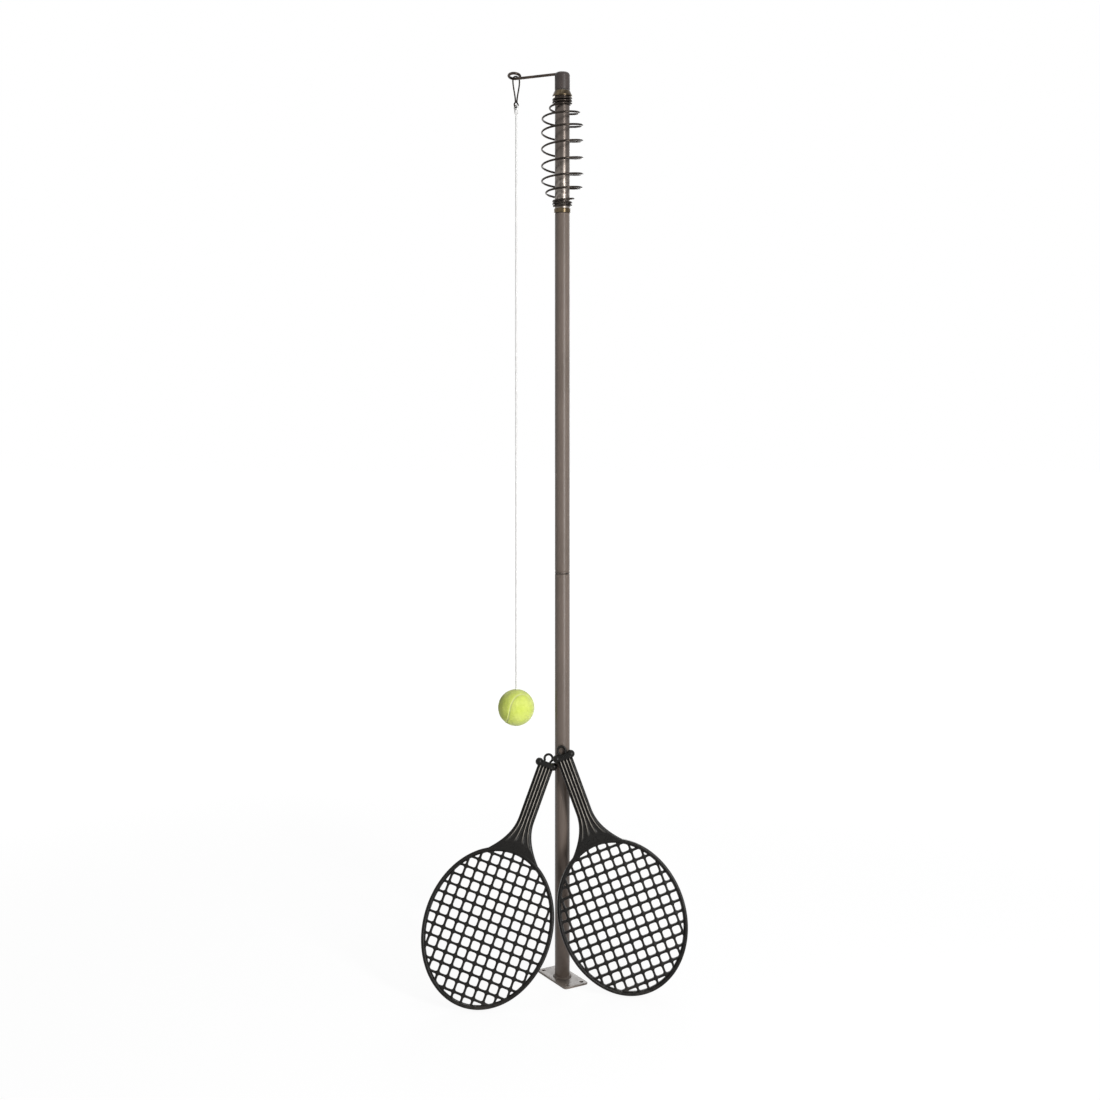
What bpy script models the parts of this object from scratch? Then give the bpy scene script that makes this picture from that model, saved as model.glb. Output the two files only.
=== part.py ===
"""Tetherball set: a ground-mounted pole with a spiral, a turning arm, a ball on a cord, and two grid rackets.

Units are metres, +Z is up. The origin is on the pole's axis, at the underside of the ground plate.
-Y is the front, the side that the two rackets lean on.
"""

import math

import bmesh
import bpy
from mathutils import Matrix, Vector

MM = 0.001

# Fits
SEAT_GAP = 0.3 * MM
ROUND_STEPS = 32

# Ground plate
PLATE_LENGTH = 100 * MM
PLATE_WIDTH = 50 * MM
PLATE_THICKNESS = 3 * MM
PLATE_CORNER = 6 * MM
PLATE_TURN = math.radians(-59)
PEG_HOLE_DIAMETER = 7.5 * MM
PEG_HOLE_INSET = 9.5 * MM
WELD_LEG = 3 * MM

# Pole tubes
POLE_DIAMETER = 27 * MM
POLE_WALL = 1.2 * MM
LOWER_POLE_LENGTH = 732 * MM
UPPER_POLE_LENGTH = 656 * MM
HEAD_TUBE_LENGTH = 222 * MM
SLEEVE_LENGTH = 120 * MM
SLEEVE_WALL = 1.5 * MM

# Spiral, wound on the head tube
SPIRAL_WIRE = 4.0 * MM
SPIRAL_BULGE_RADIUS = 36.8 * MM
SPIRAL_OPEN_TURNS = 7.0
SPIRAL_RAMP_TURNS = 1.6
SPIRAL_EASE = 0.25
SPIRAL_END_TURNS = 2.25
SPIRAL_END_PITCH = 4.8 * MM
SPIRAL_TOP_DROP = 1.2 * MM
SPIRAL_FOOT_RISE = 2.0 * MM
SPIRAL_START_ANGLE = math.radians(20)
SPIRAL_POINTS_PER_TURN = 12

# Collars on the head tube
FOOT_COLLAR_HEIGHT = 8 * MM
FOOT_COLLAR_WALL = 1.2 * MM
THRUST_COLLAR_HEIGHT = 10 * MM
THRUST_COLLAR_TOP_WALL = 0.8 * MM
THRUST_COLLAR_RIM_DIAMETER = 36 * MM
THRUST_COLLAR_LIP = 2 * MM

# Spindle and what turns on it
SPINDLE_DIAMETER = 10 * MM
SPINDLE_GRIP = 34 * MM
SPINDLE_NOSE = 2.4 * MM
PLUG_LENGTH = 30 * MM
WASHER_THICKNESS = 1.2 * MM
BUSH_DIAMETER = 18 * MM
BUSH_LENGTH = 18 * MM
RING_THICKNESS = 1.0 * MM
RING_DIAMETER = 15 * MM
RING_GROOVE_DEPTH = 0.9 * MM

# Turning cap and its arm
CAP_DIAMETER = 27.6 * MM
CAP_HEADROOM = 1.0 * MM
CAP_ROOF = 9.6 * MM
CAP_DOME_RADIUS = 6 * MM
ARM_DIAMETER = 5.2 * MM
ARM_REACH = 89 * MM
ARM_TURN = math.radians(162)
ARM_SLOPE = math.radians(-1.7)
ARM_ROOT_RADIUS = 2 * MM
ARM_ROOF_SHARE = 0.79
EYE_RADIUS = 10.25 * MM
EYE_TILT = math.radians(15)
EYE_END_GAP = 0.6 * MM
EYE_POINTS = 24

# Wire link between the eye and the cord
LINK_WIRE = 2.8 * MM
LINK_BOW_RADIUS = 8 * MM
LINK_NECK_DROP = 40 * MM
LINK_NECK_GAP = 0.8 * MM
LINK_RING_RADIUS = 4.5 * MM
LINK_TURN = math.radians(-30)
LINK_BOW_POINTS = 8

# Cord and ball
CORD_DIAMETER = 3.5 * MM
CORD_LOOP_RADIUS = 4.4 * MM
CORD_LOOP_POINTS = 20
KNOT_DIAMETER = 7.5 * MM
KNOT_LENGTH = 9 * MM
CORD_LENGTH = 1067 * MM
CORD_POINTS = 20
BALL_DIAMETER = 66.5 * MM
FELT_THICKNESS = 3.2 * MM
CORE_WALL = 3.4 * MM
STOPPER_DIAMETER = 16 * MM
STOPPER_LENGTH = 6 * MM

# Racket, moulded
HEAD_HALF_LENGTH = 137 * MM
HEAD_HALF_WIDTH = 113 * MM
RIM_WIDTH = 7 * MM
RIM_DEPTH = 14 * MM
RIM_ROUND = 2.4 * MM
HEAD_STEPS = 44
GRID_PITCH = 18.2 * MM
GRID_BAR = 3.4 * MM
GRID_DEPTH = 6 * MM
GRID_EDGE = 2 * MM
GRID_CELL_REACH = 0.94
BUTT_FROM_HEAD_CENTRE = 296 * MM
HANDLE_WIDTH = 29 * MM
HANDLE_DEPTH = 13.4 * MM
HANDLE_ROUND = 2.5 * MM
THROAT_TOP = 196 * MM
THROAT_HALF_WIDTH = 62 * MM
THROAT_DEPTH = 12 * MM
THROAT_STEPS = 8
FIN_COUNT = 6
FIN_WIDTH = 1.9 * MM
CHANNEL_DEPTH = 4.5 * MM
CHANNEL_TOP_INSET = 8 * MM
BUTT_BEAD_DIAMETER = 14.5 * MM
BUTT_BEAD_SPACING = 27 * MM
BUTT_WAIST_DIAMETER = 9.5 * MM
LOOP_HOLE_DIAMETER = 10 * MM
LOOP_WIRE = 4.4 * MM
LOOP_POINTS = 16
LOOP_FOOT_TURN = math.radians(40)
LOOP_FOOT_LENGTH = 1.2 * MM

# How each racket stands: head centre in X and Y, and sideways roll; its butt leans on the pole
LEFT_HEAD_CENTRE = (-131 * MM, -103 * MM)
LEFT_ROLL = math.radians(20.2)
RIGHT_HEAD_CENTRE = (106 * MM, -63 * MM)
RIGHT_ROLL = math.radians(-20.5)

# Heights and radii that follow from the sizes above
POLE_RADIUS = POLE_DIAMETER / 2
POLE_BORE = POLE_RADIUS - POLE_WALL
LOWER_POLE_FOOT = PLATE_THICKNESS + SEAT_GAP
LOWER_POLE_TOP = LOWER_POLE_FOOT + LOWER_POLE_LENGTH
UPPER_POLE_FOOT = LOWER_POLE_TOP + SEAT_GAP
UPPER_POLE_TOP = UPPER_POLE_FOOT + UPPER_POLE_LENGTH
HEAD_TUBE_FOOT = UPPER_POLE_TOP + SEAT_GAP
HEAD_TUBE_TOP = HEAD_TUBE_FOOT + HEAD_TUBE_LENGTH
SLEEVE_RADIUS = POLE_BORE - SEAT_GAP
THRUST_COLLAR_FOOT = HEAD_TUBE_TOP - THRUST_COLLAR_HEIGHT
SPINDLE_RADIUS = SPINDLE_DIAMETER / 2
WASHER_FOOT = HEAD_TUBE_TOP + SEAT_GAP
CAP_FOOT = WASHER_FOOT + WASHER_THICKNESS + SEAT_GAP
BUSH_TOP = CAP_FOOT + BUSH_LENGTH
RING_FOOT = BUSH_TOP + SEAT_GAP
RING_TOP = RING_FOOT + RING_THICKNESS
SPINDLE_TOP = RING_TOP + SEAT_GAP + SPINDLE_NOSE
CAP_BORE_TOP = SPINDLE_TOP + CAP_HEADROOM
CAP_TOP = CAP_BORE_TOP + CAP_ROOF
ARM_FLAT = math.cos(ARM_SLOPE)
ARM_AXIS = Vector((math.cos(ARM_TURN) * ARM_FLAT, math.sin(ARM_TURN) * ARM_FLAT, math.sin(ARM_SLOPE)))
ARM_SIDE = Vector((math.sin(ARM_TURN), -math.cos(ARM_TURN), 0))
ARM_CENTRE = Vector((0, 0, CAP_BORE_TOP + ARM_ROOF_SHARE * CAP_ROOF))
HANG_POINT = ARM_CENTRE + ARM_AXIS * (ARM_REACH / math.cos(ARM_SLOPE))
LINK_TOP = ARM_DIAMETER / 2 + SEAT_GAP + LINK_WIRE / 2
LINK_RING_CENTRE = LINK_TOP - LINK_BOW_RADIUS - LINK_NECK_DROP - LINK_RING_RADIUS
LINK_FOOT = LINK_RING_CENTRE - LINK_RING_RADIUS
CORD_RADIUS = CORD_DIAMETER / 2
CORD_LOOP_CENTRE = LINK_FOOT + LINK_WIRE / 2 + SEAT_GAP + CORD_RADIUS - CORD_LOOP_RADIUS
KNOT_TOP = CORD_LOOP_CENTRE - CORD_LOOP_RADIUS + CORD_RADIUS
CORD_TOP = KNOT_TOP - KNOT_LENGTH - SEAT_GAP
BALL_RADIUS = BALL_DIAMETER / 2
CORE_RADIUS = BALL_RADIUS - FELT_THICKNESS - SEAT_GAP
CORE_BORE = CORE_RADIUS - CORE_WALL
BALL_CORD_HOLE = CORD_RADIUS + SEAT_GAP
CORD_FOOT = CORD_TOP - CORD_LENGTH
STOPPER_CENTRE = CORD_FOOT - SEAT_GAP - STOPPER_LENGTH / 2
BALL_CENTRE = CORD_FOOT - math.sqrt(CORE_BORE**2 - (STOPPER_DIAMETER / 2) ** 2) + 2 * SEAT_GAP
GRID_HALF_LENGTH = HEAD_HALF_LENGTH - RIM_WIDTH - SEAT_GAP
GRID_HALF_WIDTH = HEAD_HALF_WIDTH - RIM_WIDTH - SEAT_GAP


def clear_scene():
    """Removes every object of the start-up scene."""
    for obj in list(bpy.data.objects):
        bpy.data.objects.remove(obj)


def material(name, colour, roughness, metallic=0.0):
    """A plain Principled finish."""
    made = bpy.data.materials.new(name)
    made.use_nodes = True
    shader = made.node_tree.nodes["Principled BSDF"]
    shader.inputs["Base Color"].default_value = (*colour, 1)
    shader.inputs["Roughness"].default_value = roughness
    shader.inputs["Metallic"].default_value = metallic
    return made


def place(name, mesh_or_curve, finish, parent=None):
    """Links a new named object with its finish, and shades a mesh smooth with crisp edges."""
    obj = bpy.data.objects.new(name, mesh_or_curve)
    bpy.context.scene.collection.objects.link(obj)
    mesh_or_curve.materials.append(finish)
    if isinstance(mesh_or_curve, bpy.types.Mesh):
        mesh_or_curve.shade_smooth()
        mesh_or_curve.set_sharp_from_angle(angle=math.radians(35))
    obj.parent = parent
    return obj


def empty(name, location, parent=None):
    """A frame on a joint's axis, which carries the pieces that move together."""
    made = bpy.data.objects.new(name, None)
    bpy.context.scene.collection.objects.link(made)
    made.location = location
    made.parent = parent
    return made


def mesh_from(name, bm):
    """Closes seams, turns the faces outwards and gives the mesh."""
    bmesh.ops.remove_doubles(bm, verts=bm.verts, dist=1e-7)
    bmesh.ops.recalc_face_normals(bm, faces=bm.faces)
    mesh = bpy.data.meshes.new(name)
    bm.to_mesh(mesh)
    bm.free()
    return mesh


def turned(name, profile, steps=ROUND_STEPS, axis=(0, 0, 1)):
    """A mesh turned round an axis from (radius, height) points; off the axis, the profile is closed."""
    bm = bmesh.new()
    across = Vector((1, 0, 0)) if axis[2] else Vector((0, 1, 0))
    along = Vector(axis)
    points = [bm.verts.new(across * r + along * h) for r, h in profile]
    on_axis = profile[0][0] == 0 and profile[-1][0] == 0
    pairs = list(zip(points, points[1:]))
    if not on_axis:
        pairs.append((points[-1], points[0]))
    edges = [bm.edges.new(pair) for pair in pairs]
    bmesh.ops.spin(
        bm, geom=points + edges, cent=(0, 0, 0), axis=axis, angle=2 * math.pi, steps=steps, use_merge=True
    )
    return mesh_from(name, bm)


def ring_profile(inner, outer, foot, top):
    """The section of a plain tube or washer."""
    return [(inner, foot), (outer, foot), (outer, top), (inner, top)]


def wire(name, points, diameter, sides_level=2, cyclic=False):
    """A round wire, rod or cord through the points, with flat ends."""
    curve = bpy.data.curves.new(name, "CURVE")
    curve.dimensions = "3D"
    curve.bevel_depth = diameter / 2
    curve.bevel_resolution = sides_level
    curve.use_fill_caps = True
    spline = curve.splines.new("POLY")
    spline.points.add(len(points) - 1)
    for point, where in zip(spline.points, points):
        point.co = (*where, 1)
    spline.use_cyclic_u = cyclic
    return curve


def solid(obj):
    """A helper's shape as an object with a mesh, whether it was drawn as a wire or as a mesh."""
    if obj.type == "MESH":
        return obj
    graph = bpy.context.evaluated_depsgraph_get()
    mesh = bpy.data.meshes.new_from_object(obj.evaluated_get(graph))
    made = bpy.data.objects.new(obj.name + "_mesh", mesh)
    bpy.context.scene.collection.objects.link(made)
    made.parent = obj.parent
    bpy.data.objects.remove(obj)
    return made


def combine(target, other, operation):
    """Applies a Boolean with a helper object, and removes the helper."""
    other = solid(other)
    change = target.modifiers.new(operation.lower(), "BOOLEAN")
    change.operation = operation
    change.object = other
    change.solver = "EXACT"
    graph = bpy.context.evaluated_depsgraph_get()
    result = bpy.data.meshes.new_from_object(target.evaluated_get(graph))
    target.modifiers.clear()
    target.data = result
    bpy.data.objects.remove(other)


def helper(mesh, finish):
    """A short-lived object for a Boolean."""
    return place("helper_" + mesh.name, mesh, finish)


def box_mesh(name, low, high):
    """A plain block between two corners."""
    bm = bmesh.new()
    bmesh.ops.create_cube(bm, size=1)
    size = Vector(high) - Vector(low)
    bmesh.ops.scale(bm, vec=size, verts=bm.verts)
    bmesh.ops.translate(bm, vec=(Vector(high) + Vector(low)) / 2, verts=bm.verts)
    return mesh_from(name, bm)


def prism(name, outline, depth, rounding=0.0):
    """A flat outline in XY, extruded evenly to both sides of Z = 0, with its rims rounded if asked."""
    bm = bmesh.new()
    face = bm.faces.new([bm.verts.new((x, y, -depth / 2)) for x, y in outline])
    made = bmesh.ops.extrude_face_region(bm, geom=[face])
    verts = [item for item in made["geom"] if isinstance(item, bmesh.types.BMVert)]
    bmesh.ops.translate(bm, vec=(0, 0, depth), verts=verts)
    if rounding:
        rims = [e for e in bm.edges if abs(e.verts[0].co.z - e.verts[1].co.z) < 1e-9]
        bmesh.ops.bevel(bm, geom=rims, offset=rounding, segments=2, profile=0.5, affect="EDGES")
    return mesh_from(name, bm)


def ellipse(half_x, half_y, steps):
    """Points round an ellipse in XY."""
    turns = [2 * math.pi * i / steps for i in range(steps)]
    return [(half_x * math.cos(t), half_y * math.sin(t)) for t in turns]


def rounded_rectangle(length, width, radius, steps=6):
    """The outline of a plate with rounded corners."""
    outline = []
    for corner, (sx, sy) in enumerate(((1, 1), (-1, 1), (-1, -1), (1, -1))):
        cx, cy = sx * (length / 2 - radius), sy * (width / 2 - radius)
        for i in range(steps + 1):
            turn = math.pi / 2 * (corner + i / steps)
            outline.append((cx + radius * math.cos(turn), cy + radius * math.sin(turn)))
    return outline


def build_ground_plate(paint):
    """The foot plate, with a peg hole in each corner, and the weld round the pole's foot."""
    outline = rounded_rectangle(PLATE_LENGTH, PLATE_WIDTH, PLATE_CORNER)
    plate = place("ground_plate", prism("ground_plate", outline, PLATE_THICKNESS), paint)
    hole_x = PLATE_LENGTH / 2 - PEG_HOLE_INSET
    hole_y = PLATE_WIDTH / 2 - PEG_HOLE_INSET
    for sx in (-1, 1):
        for sy in (-1, 1):
            half, deep = PEG_HOLE_DIAMETER / 2, PLATE_THICKNESS
            drill = [(0, -deep), (half, -deep), (half, deep), (0, deep)]
            hole = turned("peg_hole", drill, steps=16)
            hole.transform(Matrix.Translation((sx * hole_x, sy * hole_y, 0)))
            combine(plate, helper(hole, paint), "DIFFERENCE")
    plate.rotation_euler.z = PLATE_TURN
    plate.location.z = PLATE_THICKNESS / 2
    inner = POLE_RADIUS + SEAT_GAP
    foot = LOWER_POLE_FOOT
    section = [(inner, foot), (inner + WELD_LEG, foot), (inner, foot + WELD_LEG)]
    place("foot_weld", turned("foot_weld", section), paint)


def build_pole(paint, plating):
    """The two painted tubes, the plated head tube and the sleeves that join them."""
    spans = (
        ("lower_pole", LOWER_POLE_FOOT, LOWER_POLE_TOP, paint),
        ("upper_pole", UPPER_POLE_FOOT, UPPER_POLE_TOP, paint),
        ("head_tube", HEAD_TUBE_FOOT, HEAD_TUBE_TOP, plating),
    )
    for name, foot, top, finish in spans:
        place(name, turned(name, ring_profile(POLE_BORE, POLE_RADIUS, foot, top)), finish)
    for name, joint in (("joint_sleeve", LOWER_POLE_TOP), ("head_sleeve", UPPER_POLE_TOP)):
        low, high = joint - SLEEVE_LENGTH / 2, joint + SLEEVE_LENGTH / 2
        section = ring_profile(SLEEVE_RADIUS - SLEEVE_WALL, SLEEVE_RADIUS, low, high)
        place(name, turned(name, section), plating)


def spiral_points():
    """The spiral's centre line from its top end down: tight end turns, then a barrel of open turns."""
    tight = (POLE_RADIUS + SEAT_GAP + SPIRAL_WIRE / 2) / math.cos(math.pi / SPIRAL_POINTS_PER_TURN)
    top = THRUST_COLLAR_FOOT - SPIRAL_TOP_DROP - SPIRAL_WIRE / 2
    foot = HEAD_TUBE_FOOT + FOOT_COLLAR_HEIGHT + SPIRAL_FOOT_RISE + SPIRAL_WIRE / 2
    open_height = top - foot - 2 * SPIRAL_END_TURNS * SPIRAL_END_PITCH
    turns = SPIRAL_OPEN_TURNS + 2 * SPIRAL_END_TURNS
    count = round(turns * SPIRAL_POINTS_PER_TURN)
    points = []
    for i in range(count + 1):
        turn = turns * i / count
        along = min(max((turn - SPIRAL_END_TURNS) / SPIRAL_OPEN_TURNS, 0), 1)
        ends = turn - SPIRAL_OPEN_TURNS * along
        eased = along - math.sin(2 * math.pi * along) / (2 * math.pi) * SPIRAL_EASE
        height = top - ends * SPIRAL_END_PITCH - open_height * eased
        ramp = min(min(along, 1 - along) * SPIRAL_OPEN_TURNS / SPIRAL_RAMP_TURNS, 1)
        radius = tight + (SPIRAL_BULGE_RADIUS - tight) * math.sin(math.pi / 2 * ramp)
        angle = SPIRAL_START_ANGLE - 2 * math.pi * turn
        points.append(Vector((radius * math.cos(angle), radius * math.sin(angle), height)))
    return points


def least_gap(points, diameter, skip):
    """The least space between stretches of a wire that are at least skip points apart."""
    distances = (
        (points[i] - points[j]).length for i in range(len(points)) for j in range(i + skip, len(points))
    )
    return min(distances) - diameter


def build_spiral(plating):
    """The barrel-shaped wire spiral, and the collars above and below it."""
    points = spiral_points()
    space = least_gap(points, SPIRAL_WIRE, SPIRAL_POINTS_PER_TURN // 2)
    print(f"spiral: least gap to itself {space / MM:.2f} mm")
    place("score_spiral", wire("score_spiral", points, SPIRAL_WIRE, sides_level=1), plating)
    inner = POLE_RADIUS + SEAT_GAP
    collar_top = HEAD_TUBE_FOOT + FOOT_COLLAR_HEIGHT
    section = ring_profile(inner, inner + FOOT_COLLAR_WALL, HEAD_TUBE_FOOT, collar_top)
    place("foot_collar", turned("foot_collar", section), plating)
    rim = THRUST_COLLAR_RIM_DIAMETER / 2
    section = [
        (inner, THRUST_COLLAR_FOOT),
        (rim, THRUST_COLLAR_FOOT),
        (rim, THRUST_COLLAR_FOOT + THRUST_COLLAR_LIP),
        (inner + THRUST_COLLAR_TOP_WALL, HEAD_TUBE_TOP),
        (inner, HEAD_TUBE_TOP),
    ]
    place("thrust_collar", turned("thrust_collar", section), plating)


def build_spindle(steel, nylon):
    """The fixed spindle in its plug, its washer and the ring that keeps the cap on."""
    bore = SPINDLE_RADIUS + SEAT_GAP
    section = ring_profile(bore, POLE_BORE - SEAT_GAP, HEAD_TUBE_TOP - PLUG_LENGTH, HEAD_TUBE_TOP)
    place("spindle_plug", turned("spindle_plug", section), nylon)
    groove = SPINDLE_RADIUS - RING_GROOVE_DEPTH
    section = [
        (0, HEAD_TUBE_TOP - SPINDLE_GRIP),
        (SPINDLE_RADIUS, HEAD_TUBE_TOP - SPINDLE_GRIP),
        (SPINDLE_RADIUS, BUSH_TOP),
        (groove, BUSH_TOP),
        (groove, RING_TOP + SEAT_GAP),
        (SPINDLE_RADIUS, RING_TOP + SEAT_GAP),
        (SPINDLE_RADIUS, SPINDLE_TOP),
        (0, SPINDLE_TOP),
    ]
    place("spindle", turned("spindle", section, steps=24), steel)
    section = ring_profile(bore, POLE_RADIUS, WASHER_FOOT, WASHER_FOOT + WASHER_THICKNESS)
    place("thrust_washer", turned("thrust_washer", section), nylon)
    section = ring_profile(groove + SEAT_GAP, RING_DIAMETER / 2, RING_FOOT, RING_TOP)
    place("retaining_ring", turned("retaining_ring", section, steps=24), steel)


def arm_points():
    """The arm's centre line: straight out of the cap, then round the eye until it nearly meets the arm."""
    side = (ARM_SIDE * -math.cos(EYE_TILT) + Vector((0, 0, math.sin(EYE_TILT)))).normalized()
    centre = HANG_POINT + side * EYE_RADIUS
    sweep = 2 * math.pi - math.acos(1 - (ARM_DIAMETER + EYE_END_GAP) / EYE_RADIUS)
    points = [ARM_CENTRE + ARM_AXIS * ARM_ROOT_RADIUS]
    for i in range(EYE_POINTS + 1):
        turn = sweep * i / EYE_POINTS
        away, ahead = EYE_RADIUS * math.cos(turn), EYE_RADIUS * math.sin(turn)
        points.append(centre - side * away + ARM_AXIS * ahead)
    return points


def build_rotor(paint, nylon, plating):
    """The domed cap that turns on the spindle, its bush and the arm that ends in an eye."""
    rotor = empty("rotor", (0, 0, CAP_FOOT))
    outer = CAP_DIAMETER / 2
    bore = BUSH_DIAMETER / 2 + SEAT_GAP
    dome = []
    for i in range(7):
        turn = math.pi / 2 * i / 6
        inset, drop = CAP_DOME_RADIUS * (1 - math.cos(turn)), CAP_DOME_RADIUS * (1 - math.sin(turn))
        dome.append((outer - inset, CAP_TOP - drop))
    hollow = [(0, CAP_BORE_TOP), (bore, CAP_BORE_TOP), (bore, CAP_FOOT)]
    section = [*hollow, (outer, CAP_FOOT), *dome, (0, CAP_TOP)]
    cap = place("rotor_cap", turned("rotor_cap", section), paint)
    far = ARM_CENTRE + ARM_AXIS * CAP_DIAMETER
    near = ARM_CENTRE + ARM_AXIS * (ARM_ROOT_RADIUS - SEAT_GAP)
    bit = wire("arm_socket", [near, far], ARM_DIAMETER + 2 * SEAT_GAP, sides_level=3)
    socket = place("arm_socket", bit, paint)
    combine(cap, socket, "DIFFERENCE")
    section = ring_profile(SPINDLE_RADIUS + SEAT_GAP, BUSH_DIAMETER / 2, CAP_FOOT, BUSH_TOP)
    bush = place("rotor_bush", turned("rotor_bush", section, steps=24), nylon)
    arm = place("rotor_arm", wire("rotor_arm", arm_points(), ARM_DIAMETER, sides_level=3), plating)
    for piece in (cap, bush, arm):
        piece.parent = rotor
        piece.matrix_parent_inverse = Matrix.Translation((0, 0, -CAP_FOOT))
    return rotor


def link_points():
    """The wire link in its own plane (sideways, height): one closed line of bow, neck and small ring."""
    neck = (LINK_WIRE + LINK_NECK_GAP) / 2
    bow_centre = LINK_TOP - LINK_BOW_RADIUS
    neck_height = bow_centre - LINK_NECK_DROP
    half = []
    for i in range(LINK_BOW_POINTS + 1):
        turn = math.pi / 2 * i / LINK_BOW_POINTS
        half.append((LINK_BOW_RADIUS * math.sin(turn), bow_centre + LINK_BOW_RADIUS * math.cos(turn)))
    for i in range(1, 6):
        share = i / 6
        eased = share * share * (3 - 2 * share)
        half.append((LINK_BOW_RADIUS + (neck - LINK_BOW_RADIUS) * eased, bow_centre - LINK_NECK_DROP * share))
    start = math.asin(neck / LINK_RING_RADIUS)
    for i in range(9):
        turn = start + (math.pi - start) * i / 8
        half.append((LINK_RING_RADIUS * math.sin(turn), LINK_RING_CENTRE + LINK_RING_RADIUS * math.cos(turn)))
    half.insert(LINK_BOW_POINTS + 6, (neck, (neck_height + LINK_RING_CENTRE + LINK_RING_RADIUS) / 2))
    other = [(-x, z) for x, z in reversed(half[1:-1])]
    return half + other


def build_link(plating):
    """The wire link that hangs in the arm's eye."""
    hanger = empty("link_hanger", HANG_POINT)
    flat = Vector((ARM_AXIS.x, ARM_AXIS.y, 0))
    across = (ARM_SIDE * math.cos(LINK_TURN) + flat * math.sin(LINK_TURN)).normalized()
    points = [across * x + Vector((0, 0, z)) for x, z in link_points()]
    place("tether_link", wire("tether_link", points, LINK_WIRE, cyclic=True), plating, hanger)
    return hanger, across


def build_tether(across, cotton, rubber, felt):
    """The cord with its top loop and knot, and the ball that it is stopped in."""
    tether = empty("tether", HANG_POINT + Vector((0, 0, LINK_FOOT)))
    drop = -LINK_FOOT
    side = Vector((0, 0, 1)).cross(across)
    centre = Vector((0, 0, CORD_LOOP_CENTRE + drop))
    turns = [2 * math.pi * i / CORD_LOOP_POINTS for i in range(CORD_LOOP_POINTS)]
    ring = [centre + (side * math.sin(t) + Vector((0, 0, math.cos(t)))) * CORD_LOOP_RADIUS for t in turns]
    knot_half = KNOT_DIAMETER / 2
    knot_foot = KNOT_TOP - KNOT_LENGTH
    section = [
        (0, KNOT_TOP),
        (knot_half * 0.6, KNOT_TOP),
        (knot_half, KNOT_TOP - KNOT_LENGTH * 0.3),
        (knot_half, KNOT_TOP - KNOT_LENGTH * 0.7),
        (knot_half * 0.6, knot_foot),
        (0, knot_foot),
    ]
    knot = place("cord_knot", turned("cord_knot", section, steps=16), cotton, tether)
    knot.data.transform(Matrix.Translation((0, 0, drop)))
    loop = wire("cord_loop", ring, CORD_DIAMETER, cyclic=True)
    combine(knot, place("cord_loop", loop, cotton, tether), "UNION")
    heights = [CORD_TOP + drop - CORD_LENGTH * i / (CORD_POINTS - 1) for i in range(CORD_POINTS)]
    line = [Vector((0, 0, z)) for z in heights]
    place("tether_cord", wire("tether_cord", line, CORD_DIAMETER), cotton, tether)
    ball = empty("ball", (0, 0, BALL_CENTRE + drop), tether)
    for name, outer, inner, finish in (
        ("ball_core", CORE_RADIUS, CORE_BORE, rubber),
        ("ball_felt", BALL_RADIUS, BALL_RADIUS - FELT_THICKNESS, felt),
    ):
        place(name, turned(name, shell_section(outer, inner), steps=20), finish, ball)
    half = STOPPER_DIAMETER / 2
    rise = STOPPER_LENGTH / 2
    section = [(0, -rise), (half, -rise), (half, rise), (0, rise)]
    stopper = place("cord_stopper", turned("cord_stopper", section, steps=24), rubber, tether)
    stopper.location.z = STOPPER_CENTRE + drop
    return tether


def shell_section(outer, inner, steps=12):
    """Half the section of a hollow ball with a cord hole at its top."""
    points = []
    for radius, order in ((outer, 1), (inner, -1)):
        first = math.asin(BALL_CORD_HOLE / radius)
        turns = [first + (math.pi - first) * i / steps for i in range(steps + 1)]
        arc = [(radius * math.sin(t), radius * math.cos(t)) for t in turns]
        arc[-1] = (0, -radius)
        points.append(arc[::order])
    return [*points[0], *points[1]]


def rim_mesh():
    """The oval rim: a rounded section carried round the head."""
    half = RIM_DEPTH / 2
    section = [
        (0, -half + RIM_ROUND),
        (RIM_ROUND, -half),
        (RIM_WIDTH - RIM_ROUND, -half),
        (RIM_WIDTH, -half + RIM_ROUND),
        (RIM_WIDTH, half - RIM_ROUND),
        (RIM_WIDTH - RIM_ROUND, half),
        (RIM_ROUND, half),
        (0, half - RIM_ROUND),
    ]
    bm = bmesh.new()
    loops = []
    for inset, height in section:
        outline = ellipse(HEAD_HALF_WIDTH - inset, HEAD_HALF_LENGTH - inset, HEAD_STEPS)
        loops.append([bm.verts.new((x, y, height)) for x, y in outline])
    for first, second in zip(loops, loops[1:] + loops[:1]):
        for i in range(-1, HEAD_STEPS - 1):
            bm.faces.new((first[i], first[i + 1], second[i + 1], second[i]))
    return mesh_from("rim", bm)


def throat_outline():
    """The web between rim and handle, from the front: curved flares from the handle's sides to the rim."""
    side = []
    for i in range(THROAT_STEPS + 1):
        share = i / THROAT_STEPS
        x = HANDLE_WIDTH / 2 + (THROAT_HALF_WIDTH - HANDLE_WIDTH / 2) * share**2.2
        rim = (HEAD_HALF_LENGTH - RIM_WIDTH / 2) * math.sqrt(1 - (x / (HEAD_HALF_WIDTH - RIM_WIDTH / 2)) ** 2)
        side.append((x, max(rim, THROAT_TOP - (THROAT_TOP - rim) * share**0.8)))
    low = []
    for i in range(THROAT_STEPS + 1):
        x = THROAT_HALF_WIDTH * (1 - 2 * i / THROAT_STEPS) * 0.92
        share = x / (HEAD_HALF_WIDTH - RIM_WIDTH / 2)
        low.append((x, (HEAD_HALF_LENGTH - RIM_WIDTH / 2) * math.sqrt(1 - share**2)))
    return [*side, *low, *[(-x, y) for x, y in reversed(side)]]


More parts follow.
